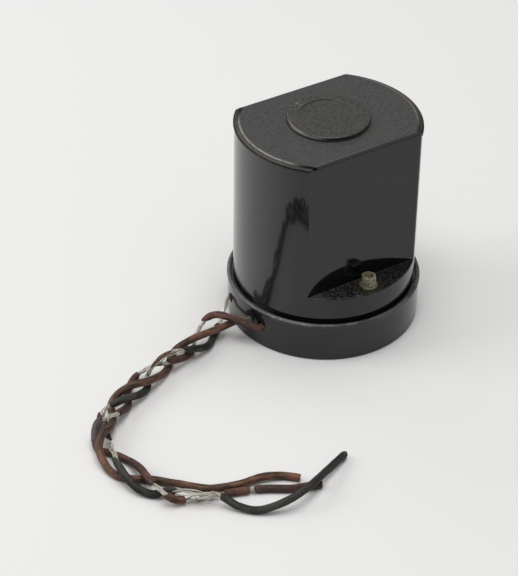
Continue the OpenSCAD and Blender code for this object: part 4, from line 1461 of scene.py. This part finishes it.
# %% Coil finishes
dress_all({
    "bobbin": ("bobbin_board", (0.2, 0.15, 0.09), (0.3, 0.24, 0.15), 0.7),
    "winding": ("enamelled_wire", (0.28, 0.09, 0.035), (0.4, 0.15, 0.06), 0.3, 0.8),
    "winding_wrap": ("cotton_tape", (0.42, 0.34, 0.2), (0.55, 0.46, 0.3), 0.85),
    "pole_pad": ("pad_board", (0.2, 0.16, 0.11), (0.3, 0.25, 0.17), 0.75),
    "coil_leads": ("lead_sleeving", (0.3, 0.24, 0.12), (0.42, 0.35, 0.2), 0.6),
})

# %% [markdown]
# ## Terminals and washers
#
# The terminal block is brown resin with brass tubes and screws. The two washers outside are
# the same dull brass as the nuts on them. They don't use the nuts' finish itself, because it
# has the painted shade of the nut's bore in it.

# %% Terminal and washer finishes
DULL_BRASS = ((0.12, 0.115, 0.07), (0.24, 0.235, 0.16), 0.55, 0.4)
dress_all({
    "terminal_block": ("block_resin", (0.04, 0.02, 0.012), (0.075, 0.038, 0.022), 0.3),
    "terminal_tubes": ("terminal_brass", (0.4, 0.3, 0.12), (0.55, 0.44, 0.2), 0.35, 1.0),
    "terminal_screws": ("terminal_screw_brass", (0.42, 0.32, 0.13), (0.55, 0.44, 0.2), 0.32, 1.0),
    "block_screws": ("block_screw_steel", *BRIGHT_STEEL),
    "front_washer": ("front_washer_brass", *DULL_BRASS),
    "rear_washer": ("rear_washer_brass", *DULL_BRASS),
})

# %% [markdown]
# ## Floor
#
# The tool stands on a sheet of pale card. The case is so glossy that its sides mirror the card,
# so how bright the card is matters as much as the lamps do. One large flat face is enough for
# it: a backdrop that curves up would only be seen from very low.

# %% Floor
floor_half = 3.0
corners = [(-floor_half, -floor_half, 0), (floor_half, -floor_half, 0),
           (floor_half, floor_half, 0), (-floor_half, floor_half, 0)]
floor_mesh = bpy.data.meshes.new("floor")
floor_mesh.from_pydata(corners, [], [(0, 1, 2, 3)])
floor = bpy.data.objects.new("floor", floor_mesh)
bpy.context.scene.collection.objects.link(floor)
f = Finish("pale_card", Roughness=0.9)
CARD_DARK, CARD_LIGHT = (0.8, 0.795, 0.785), (0.81, 0.805, 0.8)
f.set("Base Color", f.mix(f.vary(f.noise(0.4, detail=1)), CARD_DARK, CARD_LIGHT))
floor_mesh.materials.append(f.material)
print("floor", 2 * floor_half, "m wide")

# %% [markdown]
# ## Light
#
# Plain studio light in a bright room: two soft boxes behind, mostly from the left, and three
# overhead, all outside the camera's view. Each is an area light, because a point or a sun
# would give the glossy sides small hard highlights.

# %% Lights
ROOM_WHITE = (1, 0.995, 0.985, 1)
room_strength = 0.3
world = bpy.data.worlds.new("bright_room")
world.use_nodes = True
room = world.node_tree.nodes["Background"]
room.inputs["Color"].default_value = ROOM_WHITE
room.inputs["Strength"].default_value = room_strength
bpy.context.scene.world = world
light_distance = 1.7
light_size = 0.9


def soft_light(name, turn, rise, power):
    """A square soft box facing the object, turn degrees round it from +X and rise above the floor."""
    turn, rise = math.radians(turn), math.radians(rise)
    outward = Vector((math.cos(rise) * math.cos(turn), math.cos(rise) * math.sin(turn), math.sin(rise)))
    light = bpy.data.lights.new(name, "AREA")
    light.size = light_size
    light.energy = power
    box = bpy.data.objects.new(name, light)
    facing = (-outward).to_track_quat("-Z", "Y").to_matrix().to_4x4()
    box.matrix_world = Matrix.Translation(outward * light_distance) @ facing
    bpy.context.scene.collection.objects.link(box)
    print(name, power, "W")


soft_light("rear_left_light", 150, 30, 9.0)
soft_light("rear_light", 90, 30, 3.0)
soft_light("overhead_front", 240, 75, 9.0)
soft_light("overhead_right", 30, 75, 6.4)
soft_light("overhead_left", 150, 75, 2.6)
bpy.context.scene.view_settings.view_transform = "Standard"

# %% [markdown]
